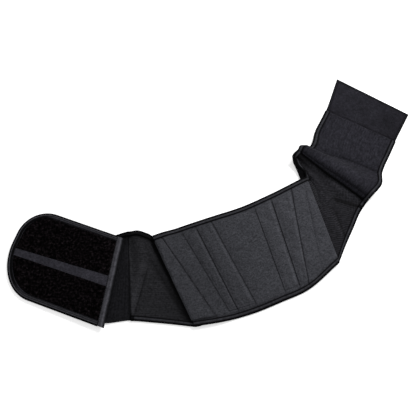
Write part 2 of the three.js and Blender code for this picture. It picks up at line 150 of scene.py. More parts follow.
# The finest spacing of the sheets, their columns, and the stitches
PITCH = 1.7 * MM
CLOTH_COLUMNS = 110
STITCH_PITCH = 3.6 * MM
STITCH_LENGTH = 2.5 * MM
STITCH_INSET = 1.6 * MM
THREAD_RADIUS = 0.32 * MM
BEAD_PLACES = np.array([-0.5, -0.3, 0.3, 0.5])
BEAD_SWELL = np.array([0.35, 1.0, 1.0, 0.35])

# The photograph's camera: where it looks, how far it stands, and the frame that it fills
CAMERA_TARGET = Vector((-0.01876, -0.01769, 0.0))
CAMERA_ELEVATION = math.radians(70)
CAMERA_DISTANCE = 1.3
FRAME_WIDTH = 0.882
SENSOR = 36.0
FRAME_PIXELS = 420
AIM_PIXEL = (208.0, 203.0)


def mix(a, b, share):
    return a + (b - a) * share


def smooth(share):
    share = np.clip(share, 0, 1)
    return share * share * (3 - 2 * share)


def bump(distance, width):
    """1 at no distance, falling to nothing beyond the width."""
    return np.exp(-(distance / width) ** 2)


def unit(vectors):
    return vectors / np.maximum(np.linalg.norm(vectors, axis=-1, keepdims=True), 1e-12)


def heading(degrees):
    return np.array([math.cos(math.radians(degrees)), math.sin(math.radians(degrees))])


def distances(path):
    """How far each point, or row of points, of a path is from the first one."""
    reach = np.linalg.norm(np.diff(path, axis=0), axis=-1).reshape(len(path) - 1, -1)
    return np.concatenate([[0], np.cumsum(reach.mean(axis=1))])


def between(spots, marks, values):
    """Rows of values at spots between the marks that they belong to."""
    return np.stack([np.interp(spots, marks, column) for column in values.T], axis=1)


def circle(count):
    return np.arange(count) * 2 * math.pi / count


def catmull_rom(points, places):
    """Points on the centripetal curve through the given ones, at section numbers with a fraction."""
    last = len(points) - 1
    index = np.clip(np.floor(places).astype(int), 0, last - 1)
    share = (places - index)[:, None]
    padded = np.vstack([2 * points[0] - points[1], points, 2 * points[-1] - points[-2]])
    p0, p1, p2, p3 = (padded[index + k] for k in range(4))
    d0, d1, d2 = (np.sqrt(np.linalg.norm(b - a, axis=1, keepdims=True))
                  for a, b in ((p0, p1), (p1, p2), (p2, p3)))
    t1 = ((p1 - p0) / d0 - (p2 - p0) / (d0 + d1) + (p2 - p1) / d1) * d1
    t2 = ((p2 - p1) / d1 - (p3 - p1) / (d1 + d2) + (p3 - p2) / d2) * d1
    square = share * share
    return (p1 + t1 * share + (3 * (p2 - p1) - 2 * t1 - t2) * square
            + (2 * (p1 - p2) + t1 + t2) * square * share)


class Chain:
    """A run of sections walked from its first middle point."""

    def __init__(self, centre, rows, end_heights, wave, way):
        here = np.array(centre, float)
        mark = 0.0
        found = []
        for row, end_height in zip(rows, end_heights):
            step = row.of * row.run
            here = here + way * step * heading(row.course)
            mark += step
            half = heading(row.cross) * mix(end_height, PANEL_HEIGHT, row.tall) / 2
            rise = [share * wave for share in row.rise]
            found.append([*(here + half), *(here - half), *rise, row.turn, row.wall, mark])
        found = np.array(found)
        self.middle = here
        self.inner, self.outer = found[:, :2], found[:, 2:4]
        self.rises, self.marks = found[:, 4:9], found[:, 9]

    def places(self, distance):
        return np.interp(distance, self.marks, np.arange(len(self.marks)))

    def rise(self, places):
        index = np.clip(np.floor(places).astype(int), 0, len(self.marks) - 2)
        return mix(self.rises[index], self.rises[index + 1], smooth(places - index)[:, None])


class Lines(namedtuple("Lines", "inner outer rise turn wall along lift strip")):
    """Lines across the belt, with the wave that stands on each and how far along the cloth it is."""

    def tall(self):
        return np.linalg.norm(self.outer - self.inner, axis=1)[:, None]

    def part(self, where):
        return Lines(*(values[where] for values in self))

    def grid(self, count=CLOTH_COLUMNS):
        """Distances from the inner edge that share out each line evenly."""
        return np.linspace(0, 1, count) * self.tall()

    def inside(self, edge, distance):
        """Distances from the inner edge to what lies some way inside the inner or the outer edge."""
        spots = np.broadcast_to(distance, (len(self.along), np.size(distance)))
        return spots if edge == "inner" else self.tall() - spots


def joined(*runs):
    return Lines(*map(np.concatenate, zip(*runs)))


def lines_at(chain, inner_spots, outer_spots=None, lift=0.0, along=None):
    inner_place = chain.places(inner_spots)
    outer_place = inner_place if outer_spots is None else chain.places(outer_spots)
    near, far = chain.rise(inner_place), chain.rise(outer_place)
    rise = np.stack([near[:, 0], (near[:, 1] + far[:, 1]) / 2, far[:, 2]], axis=1)
    count = len(inner_spots)
    return Lines(
        catmull_rom(chain.inner, inner_place), catmull_rom(chain.outer, outer_place),
        rise, near[:, 3], near[:, 4], inner_spots if along is None else along,
        np.zeros(count) + lift, np.full(count, STRIP_WIDTH))


def base(lines, across):
    """The belt's own surface at distances from the inner edge, a row of them for each line."""
    tall = lines.tall()
    straight = unit(lines.outer - lines.inner)
    turn = np.radians(lines.turn)
    cos, sin = np.cos(turn), np.sin(turn)
    strip = np.stack([straight[:, 0] * cos - straight[:, 1] * sin,
                      straight[:, 0] * sin + straight[:, 1] * cos], axis=1)
    width = lines.strip[:, None]
    knee = lines.inner + strip * width
    in_strip = lines.inner[:, None] + strip[:, None] * across[..., None]
    beyond = ((across - width) / (tall - width))[..., None]
    plan = np.where((across < width)[..., None], in_strip,
                    knee[:, None] + (lines.outer - knee)[:, None] * beyond)
    share = across / tall
    rest = 1 - share
    near_edge = np.maximum(0, 1 - across / width) ** 2
    wall = lines.wall[:, None]
    inner, middle, outer = (lines.rise[:, k:k + 1] for k in range(3))
    wave = (inner * mix(rest * rest, near_edge, wall) + 2 * middle * rest * share
            + outer * share * share)
    roll = near_edge * ROLL_SHARE * inner * (1 - wall)
    return np.concatenate([plan, (wave - roll)[..., None]], axis=-1)


def surface(lines, across, up):
    """Points at a height over the belt's surface, and the directions that stand square to it."""
    across = np.broadcast_to(across, (len(lines.along), np.shape(across)[-1]))
    here = base(lines, across)
    down = base(lines, across + MM) - base(lines, across - MM)
    normal = unit(np.cross(down, np.gradient(here, axis=0)))
    normal = normal * np.sign(np.median(normal[..., 2]))
    normal[..., 2] = np.maximum(normal[..., 2], LEAST_UPRIGHT)
    normal = unit(normal)
    points = here + normal * (np.broadcast_to(up, across.shape) + lines.lift[:, None])[..., None]
    return points + BELT_OFFSET, normal


# The three runs of sections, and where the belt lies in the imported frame
panel_chain = Chain((0, 0), PANEL_ROWS, [TAB_HEIGHT] * PANEL_MIDDLE + [LOOP_HEIGHT] * PANEL_MIDDLE,
                    WING_WAVE, 1)
left_chain = Chain((0, 0), LEFT_ROWS, [TAB_HEIGHT] * len(LEFT_ROWS), WING_WAVE, -1)
right_chain = Chain(panel_chain.middle, RIGHT_ROWS, [LOOP_HEIGHT] * len(RIGHT_ROWS), FOLD_WAVE, 1)
end_low, end_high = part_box("end_tab")
BELT_OFFSET = np.array([end_high.x - right_chain.outer[BELT_END][0],
                        end_high.y - right_chain.inner[BELT_END][1], end_low.z])


def steps(start, end):
    return np.linspace(start, end, max(3, int(round(abs(end - start) / PITCH)) + 1))


def run_of(chain, first, last):
    return lines_at(chain, steps(chain.marks[first], chain.marks[last]))


# Meshes

def linked(thing):
    bpy.context.scene.collection.objects.link(thing)
    return thing


def mesh_piece(name, points, polygons, uv=None, shade=1.0):
    """A smooth mesh from points and arrays of corner numbers, one array for each number of sides."""
    mesh = bpy.data.meshes.new(name)
    points = np.asarray(points, np.float32).reshape(-1, 3)
    mesh.vertices.add(len(points))
    mesh.vertices.foreach_set("co", points.ravel())
    sizes = np.concatenate([np.full(len(p), p.shape[1], np.int32) for p in polygons])
    corners = np.concatenate([p.ravel() for p in polygons]).astype(np.int32)
    mesh.loops.add(len(corners))
    mesh.loops.foreach_set("vertex_index", corners)
    mesh.polygons.add(len(sizes))
    mesh.polygons.foreach_set("loop_start", np.cumsum(sizes, dtype=np.int32) - sizes)
    mesh.polygons.foreach_set("loop_total", sizes)
    mesh.polygons.foreach_set("use_smooth", np.ones(len(sizes), bool))
    if uv is not None:
        layer = mesh.uv_layers.new(name="cloth")
        layer.data.foreach_set("uv", np.asarray(uv, np.float32).reshape(-1, 2)[corners].ravel())
    shades = np.array(np.broadcast_to(np.ravel(shade), len(points)), np.float32)
    mesh.attributes.new("shade", "FLOAT", "POINT").data.foreach_set("value", shades)
    mesh.update(calc_edges=True)
    mesh.validate()
    return linked(bpy.data.objects.new(name, mesh))


def quads_of(*corners):
    return np.stack([corner.ravel() for corner in corners], axis=1)


def inside_out(points, quads):
    """Whether a closed body's faces look inward."""
    a, b, c, d = (points[quads[:, k]] for k in range(4))
    return (np.einsum("ij,ij->i", a, np.cross(b, c) + np.cross(c, d))).sum() < 0


def shell(name, over, under, along, across, shade=1.0):
    """A closed sheet between two grids of points, with the cloth's own measures as its UV map."""
    rows, columns = over.shape[:2]
    count = rows * columns
    at = np.arange(count).reshape(rows, columns)
    face = quads_of(at[:-1, :-1], at[:-1, 1:], at[1:, 1:], at[1:, :-1])
    rim = np.concatenate([at[0, :-1], at[:-1, -1], at[-1, :0:-1], at[:0:-1, 0]])
    after = np.roll(rim, -1)
    sides = quads_of(rim, rim + count, after + count, after)
    quads = np.concatenate([face, (face + count)[:, ::-1], sides])
    points = np.concatenate([over.reshape(-1, 3), under.reshape(-1, 3)])
    if inside_out(points, quads):
        quads = quads[:, ::-1]
    along = along if np.ndim(along) == 2 else along[:, None]
    uv = np.stack(np.broadcast_arrays(along, across), axis=-1).reshape(-1, 2)
    shade = np.broadcast_to(shade, (rows, columns)).ravel()
    return mesh_piece(name, points, [quads], np.concatenate([uv, uv]), np.concatenate([shade, shade]))


def sweep(name, rings, along, around, shade=1.0):
    """A closed solid through rings of points, with capped ends."""
    count, size = rings.shape[:2]
    at = np.arange(count * size).reshape(count, size)
    turned = np.roll(at, -1, axis=1)
    polygons = [quads_of(at[:-1], turned[:-1], turned[1:], at[1:]), at[:1, ::-1], at[-1:]]
    if inside_out(rings.reshape(-1, 3), polygons[0]):
        polygons = [polygon[:, ::-1] for polygon in polygons]
    uv = np.stack(np.broadcast_arrays(np.reshape(along, (-1, 1)), around), axis=-1)
    return mesh_piece(name, rings, polygons, uv, np.broadcast_to(shade, (count, size)))


def tubes(name, rings):
    """One mesh of many small closed tubes. The points are numbered by tube, station and corner."""
    at = np.arange(rings[..., 0].size).reshape(rings.shape[:3])
    turned = np.roll(at, -1, axis=2)
    quads = quads_of(at[:, :-1], turned[:, :-1], turned[:, 1:], at[:, 1:])
    return mesh_piece(name, rings, [quads, np.concatenate([at[:, 0, ::-1], at[:, -1]])])


# Materials. A fabric is its roughness, sheen and gloss, and layers that change its brightness, from
# the first to the second number of dark, and raise its surface. Sizes and lifts are in metres.

Layer = namedtuple("Layer", "kind size dark lift detail roughness stretch power",
                   defaults=(None, None, 3.0, 0.6, 1.0, 1.0))
BRUSHED_KNIT = (0.95, 0.04, 0.03, [
    Layer("noise", 0.016, (0.75, 1.25)),
    Layer("noise", 0.0028, (0.0, 2.0), 0.0012),
    Layer("noise", 0.0026, (0.3, 1.7), 0.0006, roughness=0.7, stretch=0.3)])
CORDED_ELASTIC = (0.85, 0.03, 0.05, [
    Layer("across", 0.0042, (0.93, 1.07), 0.0002),
    Layer("along", 0.0011, lift=0.00008),
    Layer("noise", 0.0040, (-0.3, 2.3)),
    Layer("noise", 0.005, (0.5, 1.5), stretch=0.06)])
RIBBED_ELASTIC = (0.88, 0.02, 0.04, [
    Layer("along", 0.0044, (0.88, 1.12), 0.0003),
    Layer("noise", 0.0042, (-0.4, 2.4)),
    Layer("across", 0.0012, lift=0.0001)])
SPACER_MESH = (0.8, 0.03, 0.08, [
    Layer("holes", 0.0044, (1.35, 0.4), -0.0006),
    Layer("noise", 0.0046, (-0.4, 2.4))])
BRUSHED_LOOPS = (0.95, 0.05, 0.04, [
    Layer("across", 0.0054, (0.93, 1.07), 0.0004),
    Layer("noise", 0.003, (-0.4, 2.4), 0.0009, 5.0, 0.8),
    Layer("noise", 0.0044, (0.2, 1.8), detail=2.0, roughness=0.5, stretch=0.5),
    Layer("noise", 0.012, (0.6, 1.4))])
LAMINATED_KNIT = (0.88, 0.04, 0.05, [
    Layer("noise", 0.0028, (-0.4, 2.4), 0.0004, 4.0, 0.75),
    Layer("noise", 0.0060, (0.2, 1.8)),
    Layer("noise", 0.03, (0.5, 1.5)),
    Layer("along", 0.0013, (0.93, 1.07))])
RIBBED_TAPE = (0.75, 0.01, 0.02, [
    Layer("along", 0.0013, (0.8, 1.2), 0.00018),
    Layer("across", 0.0017, (0.85, 1.15)),
    Layer("noise", 0.005, (0.0, 2.0))])
THREAD = (0.6, 0.0, 0.03, [
    Layer("noise", 0.003, (0.5, 1.5)),
    Layer("noise", 0.0004, lift=0.0001, detail=2.0)])
# Nearly black nylon with pale specks in patches
HOOK_NYLON = (0.6, 0.0, 0.01, [
    Layer("noise", 0.0044, (-0.1, 42.0), None, 2.0, 0.5, power=5.0)])
SPECKLED_BACKING = (0.7, 0.0, 0.01, [
    Layer("noise", 0.0044, (-0.1, 42.0), 0.0006, 2.0, 0.5, power=5.0),
    Layer("along", 0.0018, lift=0.0003)])
LEAST_LIGHT = 0.05


class Look:
    """A node material under construction."""

    def __init__(self, name):
        self.material = bpy.data.materials.new(name)
        self.material.use_nodes = True
        self.tree = self.material.node_tree
        self.shader = self.tree.nodes["Principled BSDF"]

    def fill(self, node, inputs):
        """Sets a node's inputs, each to a value or from another node, and gives its outputs."""
        for slot, value in inputs.items():
            if isinstance(value, bpy.types.NodeSocket):
                self.tree.links.new(value, node.inputs[slot])
            else:
                node.inputs[slot].default_value = value
        return node.outputs

    def node(self, kind, inputs, **settings):
        node = self.tree.nodes.new("ShaderNode" + kind)
        for key, value in settings.items():
            setattr(node, key, value)
        return self.fill(node, inputs)

    def math(self, operation, *values):
        return self.node("Math", dict(enumerate(values)), operation=operation)[0]

    def wave(self, coordinate, period):
        """A sine from 0 to 1 along one of the cloth's measures."""
        sine = self.math("SINE", self.math("MULTIPLY", coordinate, 2 * math.pi / period))
        return self.math("MULTIPLY_ADD", sine, 0.5, 0.5)

    def noise(self, layer, uv):
        """Noise over the object, or over the cloth's own measures where it is stretched along them."""
        source = self.node("TexCoord", {})["Object"] if layer.stretch == 1 else uv
        factors = (layer.stretch / layer.size, 1 / layer.size, 1 / layer.size)
        scaled = self.node("VectorMath", {0: source, 1: factors}, operation="MULTIPLY")[0]
        return self.node("TexNoise", {"Vector": scaled, "Scale": 1.0, "Detail": layer.detail,
                                      "Roughness": layer.roughness})["Fac"]

    def pattern(self, layer):
        """A layer's pattern, from 0 to 1."""
        uv = self.node("UVMap", {}, uv_map="cloth")["UV"]
        if layer.kind == "noise":
            return self.noise(layer, uv)
        along, across, _ = self.node("SeparateXYZ", {0: uv})
        if layer.kind == "holes":
            slants = [self.wave(self.math(way, along, across), layer.size) for way in ("ADD", "SUBTRACT")]
            return self.math("MINIMUM", self.math("MULTIPLY", self.math("MULTIPLY", *slants), 2.2), 1.0)
        return self.wave(along if layer.kind == "along" else across, layer.size)


def fabric(name, colour, kind):
    """A cloth whose layers change its brightness and raise its surface."""
    roughness, sheen, specular, layers = kind
    look = Look(name)
    light = look.node("Attribute", {}, attribute_name="shade")["Fac"]
    height = 0.0
    for layer in layers:
        value = look.pattern(layer)
        if layer.dark:
            low, high = layer.dark
            strength = value if layer.power == 1 else look.math("POWER", value, layer.power)
            light = look.math("MULTIPLY", light, look.math("MULTIPLY_ADD", strength, high - low, low))
        if layer.lift:
            height = look.math("MULTIPLY_ADD", value, layer.lift, height)
    light = look.math("MAXIMUM", light, LEAST_LIGHT)
    shaded = look.node("VectorMath", {0: colour, "Scale": light}, operation="SCALE")[0]
    look.fill(look.shader, {
        "Base Color": shaded, "Roughness": roughness, "Specular IOR Level": specular,
        "Sheen Weight": sheen, "Sheen Roughness": 0.5, "Sheen Tint": (0.75, 0.76, 0.82, 1)})
    if any(layer.lift for layer in layers):
        raised = look.node("Bump", {"Strength": 1.0, "Distance": 1.0, "Height": height})
        look.fill(look.shader, {"Normal": raised["Normal"]})
    return look.material


BRUSHED = fabric("brushed_cloth", (0.0310, 0.0316, 0.0362), BRUSHED_KNIT)
POCKET = fabric("pocket_cloth", (0.0316, 0.0322, 0.0368), BRUSHED_KNIT)
ELASTIC_LOOK = fabric("elastic", (0.0135, 0.0135, 0.0152), CORDED_ELASTIC)
RIBBED = fabric("ribbed_elastic", (0.0068, 0.0068, 0.0080), RIBBED_ELASTIC)
MESH_LOOK = fabric("mesh_cloth", (0.0104, 0.0102, 0.0122), SPACER_MESH)
LOOPS = fabric("loop_cloth", (0.0110, 0.0107, 0.0138), BRUSHED_LOOPS)
PLAIN = fabric("plain_cloth", (0.0106, 0.0102, 0.0134), LAMINATED_KNIT)
TAB_CLOTH = fabric("tab_cloth", (0.0205, 0.0198, 0.0250), LAMINATED_KNIT)
TAPE_LOOK = fabric("tape", (0.0150, 0.0150, 0.0172), RIBBED_TAPE)
LIGHT_TAPE = fabric("tape_light", (0.0215, 0.0212, 0.0245), RIBBED_TAPE)
# Tape darkened to near black: painted shade on the left wing's upper tape, the mesh wing's turned edge
# and the tape ends turned over at the seams
SHADED_TAPE = fabric("tape_shaded", (0.0020, 0.0020, 0.0024), RIBBED_TAPE)
DARK_THREAD = fabric("dark_thread", (0.0018, 0.0018, 0.0022), THREAD)
HOOKS = fabric("hooks", (0.0022, 0.0016, 0.0019), HOOK_NYLON)
HOOK_BASE = fabric("hook_base", (0.0016, 0.0012, 0.0014), SPECKLED_BACKING)


def dressed(piece, look, slot, *nodes):
    """Gives a piece its material, its body and the solids that it stands for. The slot is not used."""
    piece.data.materials.append(look)
    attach(piece, "root")
    if nodes:
        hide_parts(*nodes)
    return piece


# Stitches and tapes

def sew(name, slot, rows, pitch=STITCH_PITCH, length=STITCH_LENGTH):
    """One piece of thread beads along several paths, each given as its points and normals."""
    angles = circle(5)[:, None]
    beads = []
    for path, normals in rows:
        marks = distances(path)
        spots = np.arange(pitch / 2, marks[-1], pitch)
        forward = unit(between(spots + MM, marks, path) - between(spots - MM, marks, path))[:, None]
        upward = unit(between(spots, marks, normals))[:, None]
        ring = np.cos(angles) * unit(np.cross(upward, forward)) + np.sin(angles) * upward
        middle = between(spots, marks, path)[:, None] + forward * (BEAD_PLACES * length)[:, None]
        beads.append(middle[:, :, None] + ring[:, None] * (BEAD_SWELL * THREAD_RADIUS)[:, None, None])
    return dressed(tubes(name, np.concatenate(beads)[:, :, ::-1]), DARK_THREAD, slot)


OVER_SPOTS = 11
# Painted light and shade round a folded tape's outline: dark where it is sewn down, a painted highlight
# on its back, painted shade at its nose and below. The closure tab's tape has a thin painted highlight
# line and is darker at the round end.
TAPE_SHADE = np.array([0.1, 0.1, 0.25, 1.0, 1.7, 1.9, 1.8, 1.4, 0.7, 0.15, *[0.1] * 34])
RIDGED_SHADE = np.array([0.2, 0.5, 1.3, 1.5, 1.1, 0.4, 0.4, 2.0, 1.8, 0.1, *[0.05] * 34])
ROUND_SHADE = np.array([*[0.1] * 6, 0.4, 2.2, 1.9, 0.1, *[0.05] * 34])


def tape_height(thickness):
    return CLOTH_UNDER + thickness + TAPE_GAP + TAPE


def tape_profile(thickness, leg=TAPE_LEG, crest=0.0):
    """Closed outline of a folded tape: distances from the cloth's edge, and heights."""
    top = tape_height(thickness) - TAPE
    middle, inside = (top + TAPE) / 2, (top - TAPE) / 2
    angles = np.linspace(math.pi / 2, -math.pi / 2, 9)
    spots = np.linspace(1, 0.12, OVER_SPOTS)
    return np.hstack([
        [spots * leg, top + TAPE * (1 - 0.45 * spots ** 14) + crest * np.sin(spots * math.pi)],
        [-(TAPE + TAPE_GAP) * np.cos(angles), middle + middle * np.sin(angles)],
        [spots[::-1] * leg, np.zeros(OVER_SPOTS)],
        [[leg, leg / 2], [TAPE, TAPE]],
        [-TAPE_GAP * np.cos(angles), middle - inside * np.sin(angles)],
        [[leg / 2, leg], [top, top]]])


def around(across, up):
    """How far round an outline each of its points is."""
    return np.cumsum(np.abs(np.gradient(across)) + np.abs(np.gradient(up)))


def binding(name, lines, edge, thickness):
    """A tape folded round one edge of the belt."""
    across, up = tape_profile(thickness)
    rings, _ = surface(lines, lines.inside(edge, across), up)
    return sweep(name, rings, lines.along, around(across, up), TAPE_SHADE)


def edge_path(lines, edge, distance, height):
    points, normals = surface(lines, lines.inside(edge, distance), height)
    return points[:, 0], normals[:, 0]


def tape_on(name, lines, edge, thickness, node, look=TAPE_LOOK, sewn=None):
    """A tape with the row of stitches near its inner edge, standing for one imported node."""
    tape = dressed(binding(name, lines, edge, thickness), look, "tape", node)
    height = tape_height(thickness) + THREAD_RADIUS * 0.3 - 0.1 * MM
    row = edge_path(lines, edge, TAPE_LEG - STITCH_INSET, height)
    return [tape, sew((sewn or name) + "_stitches", "tape", [row])]


def inside_margin(grid, margin):
    """The columns of a grid that lie a margin inside both edges of the belt."""
    tall = np.linalg.norm(grid[:, 0] - grid[:, -1], axis=1).mean()
    keep = int(math.ceil(margin / tall * (grid.shape[1] - 1)))
    return slice(keep, grid.shape[1] - keep)


# The back panel

PANEL_LAP = LAP_SEAT / PANEL_LENGTH
# Lines across the panel as shares of its inner and outer edge
FAN_INNER = [0, PANEL_LAP, 0.085, 0.12, 0.18, 0.27, 0.37, 0.5, 0.62, 0.75, 0.86, 0.9, 1 - PANEL_LAP, 1]
FAN_OUTER = [0, PANEL_LAP, 0.16, 0.22, 0.28, 0.335, 0.42, 0.5, 0.6, 0.7, 0.8, 0.9, 1 - PANEL_LAP, 1]
PANEL_LINES = 240
PANEL_COLUMNS = 150
# Sewn lines across the panel: share of its inner edge, share of its outer edge, depth in mm
Seam = namedtuple("Seam", "inner outer depth")
BAND_SEAM = Seam(0.038, 0.152, 1.1)
END_SEAM = Seam(0.976, 0.876, 0.5)
# How much darker the cloth is along each line across the panel
LINE_SHADES = [
    Seam(0.038, 0.152, 0.95), Seam(0.164, 0.244, 0.25), Seam(0.256, 0.291, 0.5), Seam(0.353, 0.409, 0.65),
    Seam(0.628, 0.605, 0.45), Seam(0.740, 0.705, 0.5), Seam(0.886, 0.759, 0.85), Seam(0.976, 0.876, 0.3),
]
# How far the padding's underside reaches down to the wings at the laps
LAP_FILL = 1.9 * MM
# Where the panel starts to rise over the wings
LEFT_RAMP = 0.16
RIGHT_RAMP = 0.74
# Stay channels between two sewn lines: shares at their left and right, and the height in mm
Channel = namedtuple("Channel", "left right height left_shade right_shade")
CHANNELS = [
    Channel((0.164, 0.244), (0.253, 0.288), 1.2, 0.85, 0.6),
    Channel((0.256, 0.291), (0.353, 0.409), 1.8, 0.75, 0.45),
    Channel((0.628, 0.605), (0.736, 0.701), 1.4, 0.7, 0.7),
    Channel((0.740, 0.705), (0.886, 0.759), 2.0, 0.7, 0.25),
]
# The padding's simulation: its grid, filling, how firmly seams hold, and the most that it may swell
SIM_ROWS = 96
SIM_COLUMNS = 60
SIM_THICKNESS = 3.5 * MM
SIM_HOLD = 0.45
SIM_CAP = 1.8 * MM
SIM_FRAMES = 18
SIM_SETTINGS = {
    "quality": 5, "mass": 0.3, "tension_stiffness": 15, "compression_stiffness": 15,
    "bending_stiffness": 0.6, "shrink_min": -0.02, "use_pressure": True,
    "uniform_pressure_force": 4.0, "vertex_group_mass": "pins",
}


def settle(body):
    """Runs Blender's cloth on a closed body filled with pressure, and gives back where its points end."""
    cloth = body.modifiers.new("cloth", "CLOTH")
    for key, value in SIM_SETTINGS.items():
        setattr(cloth.settings, key, value)
    cloth.settings.effector_weights.gravity = 0
    cloth.point_cache.frame_start = 1
    cloth.point_cache.frame_end = SIM_FRAMES
    scene = bpy.context.scene
    for number in range(1, SIM_FRAMES + 1):
        scene.frame_set(number)
    settled = body.evaluated_get(bpy.context.evaluated_depsgraph_get()).data
    points = np.empty(len(settled.vertices) * 3)
    settled.vertices.foreach_get("co", points)
    bpy.data.meshes.remove(body.data)
    scene.frame_set(1)
    return points.reshape(-1, 3)


def lit_towards_right(share):
    """Painted light: the panel's cloth is lighter towards its right end, where more light falls on it."""
    return mix(0.93, 1.24, np.clip(share * 1.6 - 0.3, 0, 1))


class PanelTop:
    """The upper face of the padded panel as a grid that other pieces lie on."""

    def __init__(self):
        even = np.linspace(0, 1, PANEL_LINES)
        shares = mix(smooth(even), even, 0.65)
        outer = np.interp(shares, FAN_INNER, FAN_OUTER)
        left = 1 - smooth((shares - PANEL_LAP) / (LEFT_RAMP - PANEL_LAP))
        right = smooth((shares - RIGHT_RAMP) / (1 - PANEL_LAP - RIGHT_RAMP))
        self.lines = lines_at(panel_chain, shares * PANEL_LENGTH, outer * PANEL_LENGTH,
                              LAP_LIFT * np.maximum(left, right))
        self.v = np.linspace(0, 1, PANEL_COLUMNS)
        self.across = self.lines.grid(PANEL_COLUMNS)
        self.edge = np.minimum(self.across, self.lines.tall() - self.across)
        self.share = mix(shares[:, None], outer[:, None], self.v)
        # 1 over the padding and 0 under the edge tapes
        self.padding = smooth((self.edge - TAPE_LEG * 0.8) / (PANEL_EDGE_MARGIN - TAPE_LEG * 0.8))
        # 1 at the sheet's very ends, which are rounded off, and 0 beyond a few millimetres
        nearest = np.minimum(self.share - self.share[:1], self.share[-1:] - self.share) * PANEL_LENGTH
        self.rim = np.maximum(0, 1 - nearest / (2.5 * MM)) ** 2
        self.lay(self.heights())
        self.lay(self.up + self.inflated() * (1 - self.rim))

    def lay(self, up):
        self.up = up
        self.points, self.normals = surface(self.lines, self.across, up)

    def beside(self, seam, width):
        """1 on a sewn line across the panel and 0 away from it."""
        return bump((self.share - mix(seam.inner, seam.outer, self.v)) * PANEL_LENGTH, width)

    def heights(self):
        up = mix(CLOTH_UNDER + ELASTIC, PADDING, self.padding)
        for seam in (BAND_SEAM, END_SEAM):
            up = up - seam.depth * MM * self.beside(seam, 1.7 * MM) * self.padding
        ripple = np.sin(self.share * 23 + self.v * 5) + np.sin(self.share * 37 - self.v * 9 + 1)
        return up + 0.16 * MM * ripple * self.padding - 1.6 * MM * self.rim

    def sewn_down(self):
        """1 on the sewn lines and under the tapes, where the padding can't swell, and 0 between them."""
        held = 1 - self.padding
        for seam in LINE_SHADES:
            held = np.maximum(held, self.beside(seam, 2.6 * MM))
        return held

    def inflated(self):
        """How far a cloth simulation of the filled panel lifts its face, for each point of the grid."""
        rows = np.linspace(0, PANEL_LINES - 1, SIM_ROWS).round().astype(int)
        columns = np.linspace(0, PANEL_COLUMNS - 1, SIM_COLUMNS).round().astype(int)
        pick = np.ix_(rows, columns)
        face, upward = self.points[pick], self.normals[pick]
        body = shell("padding_simulation", face, face - upward * SIM_THICKNESS,
                     self.lines.along[rows], self.across[pick])
        held = self.sewn_down()
        pins = body.vertex_groups.new(name="pins")
        for number, weight in enumerate(held[pick].ravel()):
            pins.add([number], float(weight > SIM_HOLD), "REPLACE")
            pins.add([number + face[..., 0].size], 1.0, "REPLACE")
        settled = settle(body)[:face[..., 0].size].reshape(face.shape)
        lift = SIM_CAP * np.tanh(np.einsum("ijk,ijk->ij", settled - face, upward) / SIM_CAP)
        lift = between(np.arange(PANEL_LINES), rows, lift)
        return between(np.arange(PANEL_COLUMNS), columns, lift.T).T * (1 - held)

    def shade(self):
        made = lit_towards_right(self.share) * (1 - 0.6 * bump(self.edge - TAPE_LEG, STITCH_INSET))
        for seam in LINE_SHADES:
            made = made * (1 - seam.depth * self.beside(seam, 1.4 * MM))
        return made

    def sample(self, line, grid):
        """A grid's values where a slanted line crosses each of its columns."""
        rows = np.array([np.interp(target, column, np.arange(PANEL_LINES))
                         for target, column in zip(mix(*line, self.v), self.share.T)])
        low = np.clip(np.floor(rows).astype(int), 0, PANEL_LINES - 2)
        columns = np.arange(PANEL_COLUMNS)
        return mix(grid[low, columns], grid[low + 1, columns], (rows - low)[:, None])

    def strip(self, left, right, count, margin):
        """Points and directions on the panel between two slanted lines, inside both edges."""
        shares = np.linspace(0, 1, count)
        lines = [(mix(left[0], right[0], t), mix(left[1], right[1], t)) for t in shares]
        points = np.array([self.sample(line, self.points) for line in lines])
        normals = unit(np.array([self.sample(line, self.normals) for line in lines]))
        inside = inside_margin(points, margin)
        return points[:, inside], normals[:, inside], shares


def back_panel():
    top = PanelTop()
    lapped = smooth(top.lines.lift / LAP_LIFT)[:, None] * top.padding
    under_up = CLOTH_UNDER * (1 - top.padding) - LAP_FILL * lapped
    under, _ = surface(top.lines, top.across, under_up + 1.2 * MM * top.rim)
    padding = shell("lumbar_panel_padding", top.points, under, top.share * PANEL_LENGTH, top.across,
                    top.shade())
    dressed(padding, BRUSHED, "brushed_cloth", "lumbar_panel")
    for number, channel in enumerate(CHANNELS, 1):
        stay_channel(top, channel, number)
    hem_band(top)
    sewn = [(BAND_SEAM[:2], -0.35), (END_SEAM[:2], -0.3)]
    sewn += [(line, 0.75) for channel in CHANNELS for line in (channel.left, channel.right)]
    rows = []
    for line, up in sewn:
        points, normals, _ = top.strip(line, line, 1, PANEL_EDGE_MARGIN)
        rows.append((points[0] + normals[0] * up * MM, normals[0]))
    sew("panel_stitches", "pocket_cloth", rows)
    tape_on("panel_upper_tape", top.lines, "inner", ELASTIC, "panel_upper_binding",
            sewn="panel_inner_tape")
    tape_on("panel_lower_tape", top.lines, "outer", ELASTIC, "panel_lower_binding",
            sewn="panel_outer_tape")


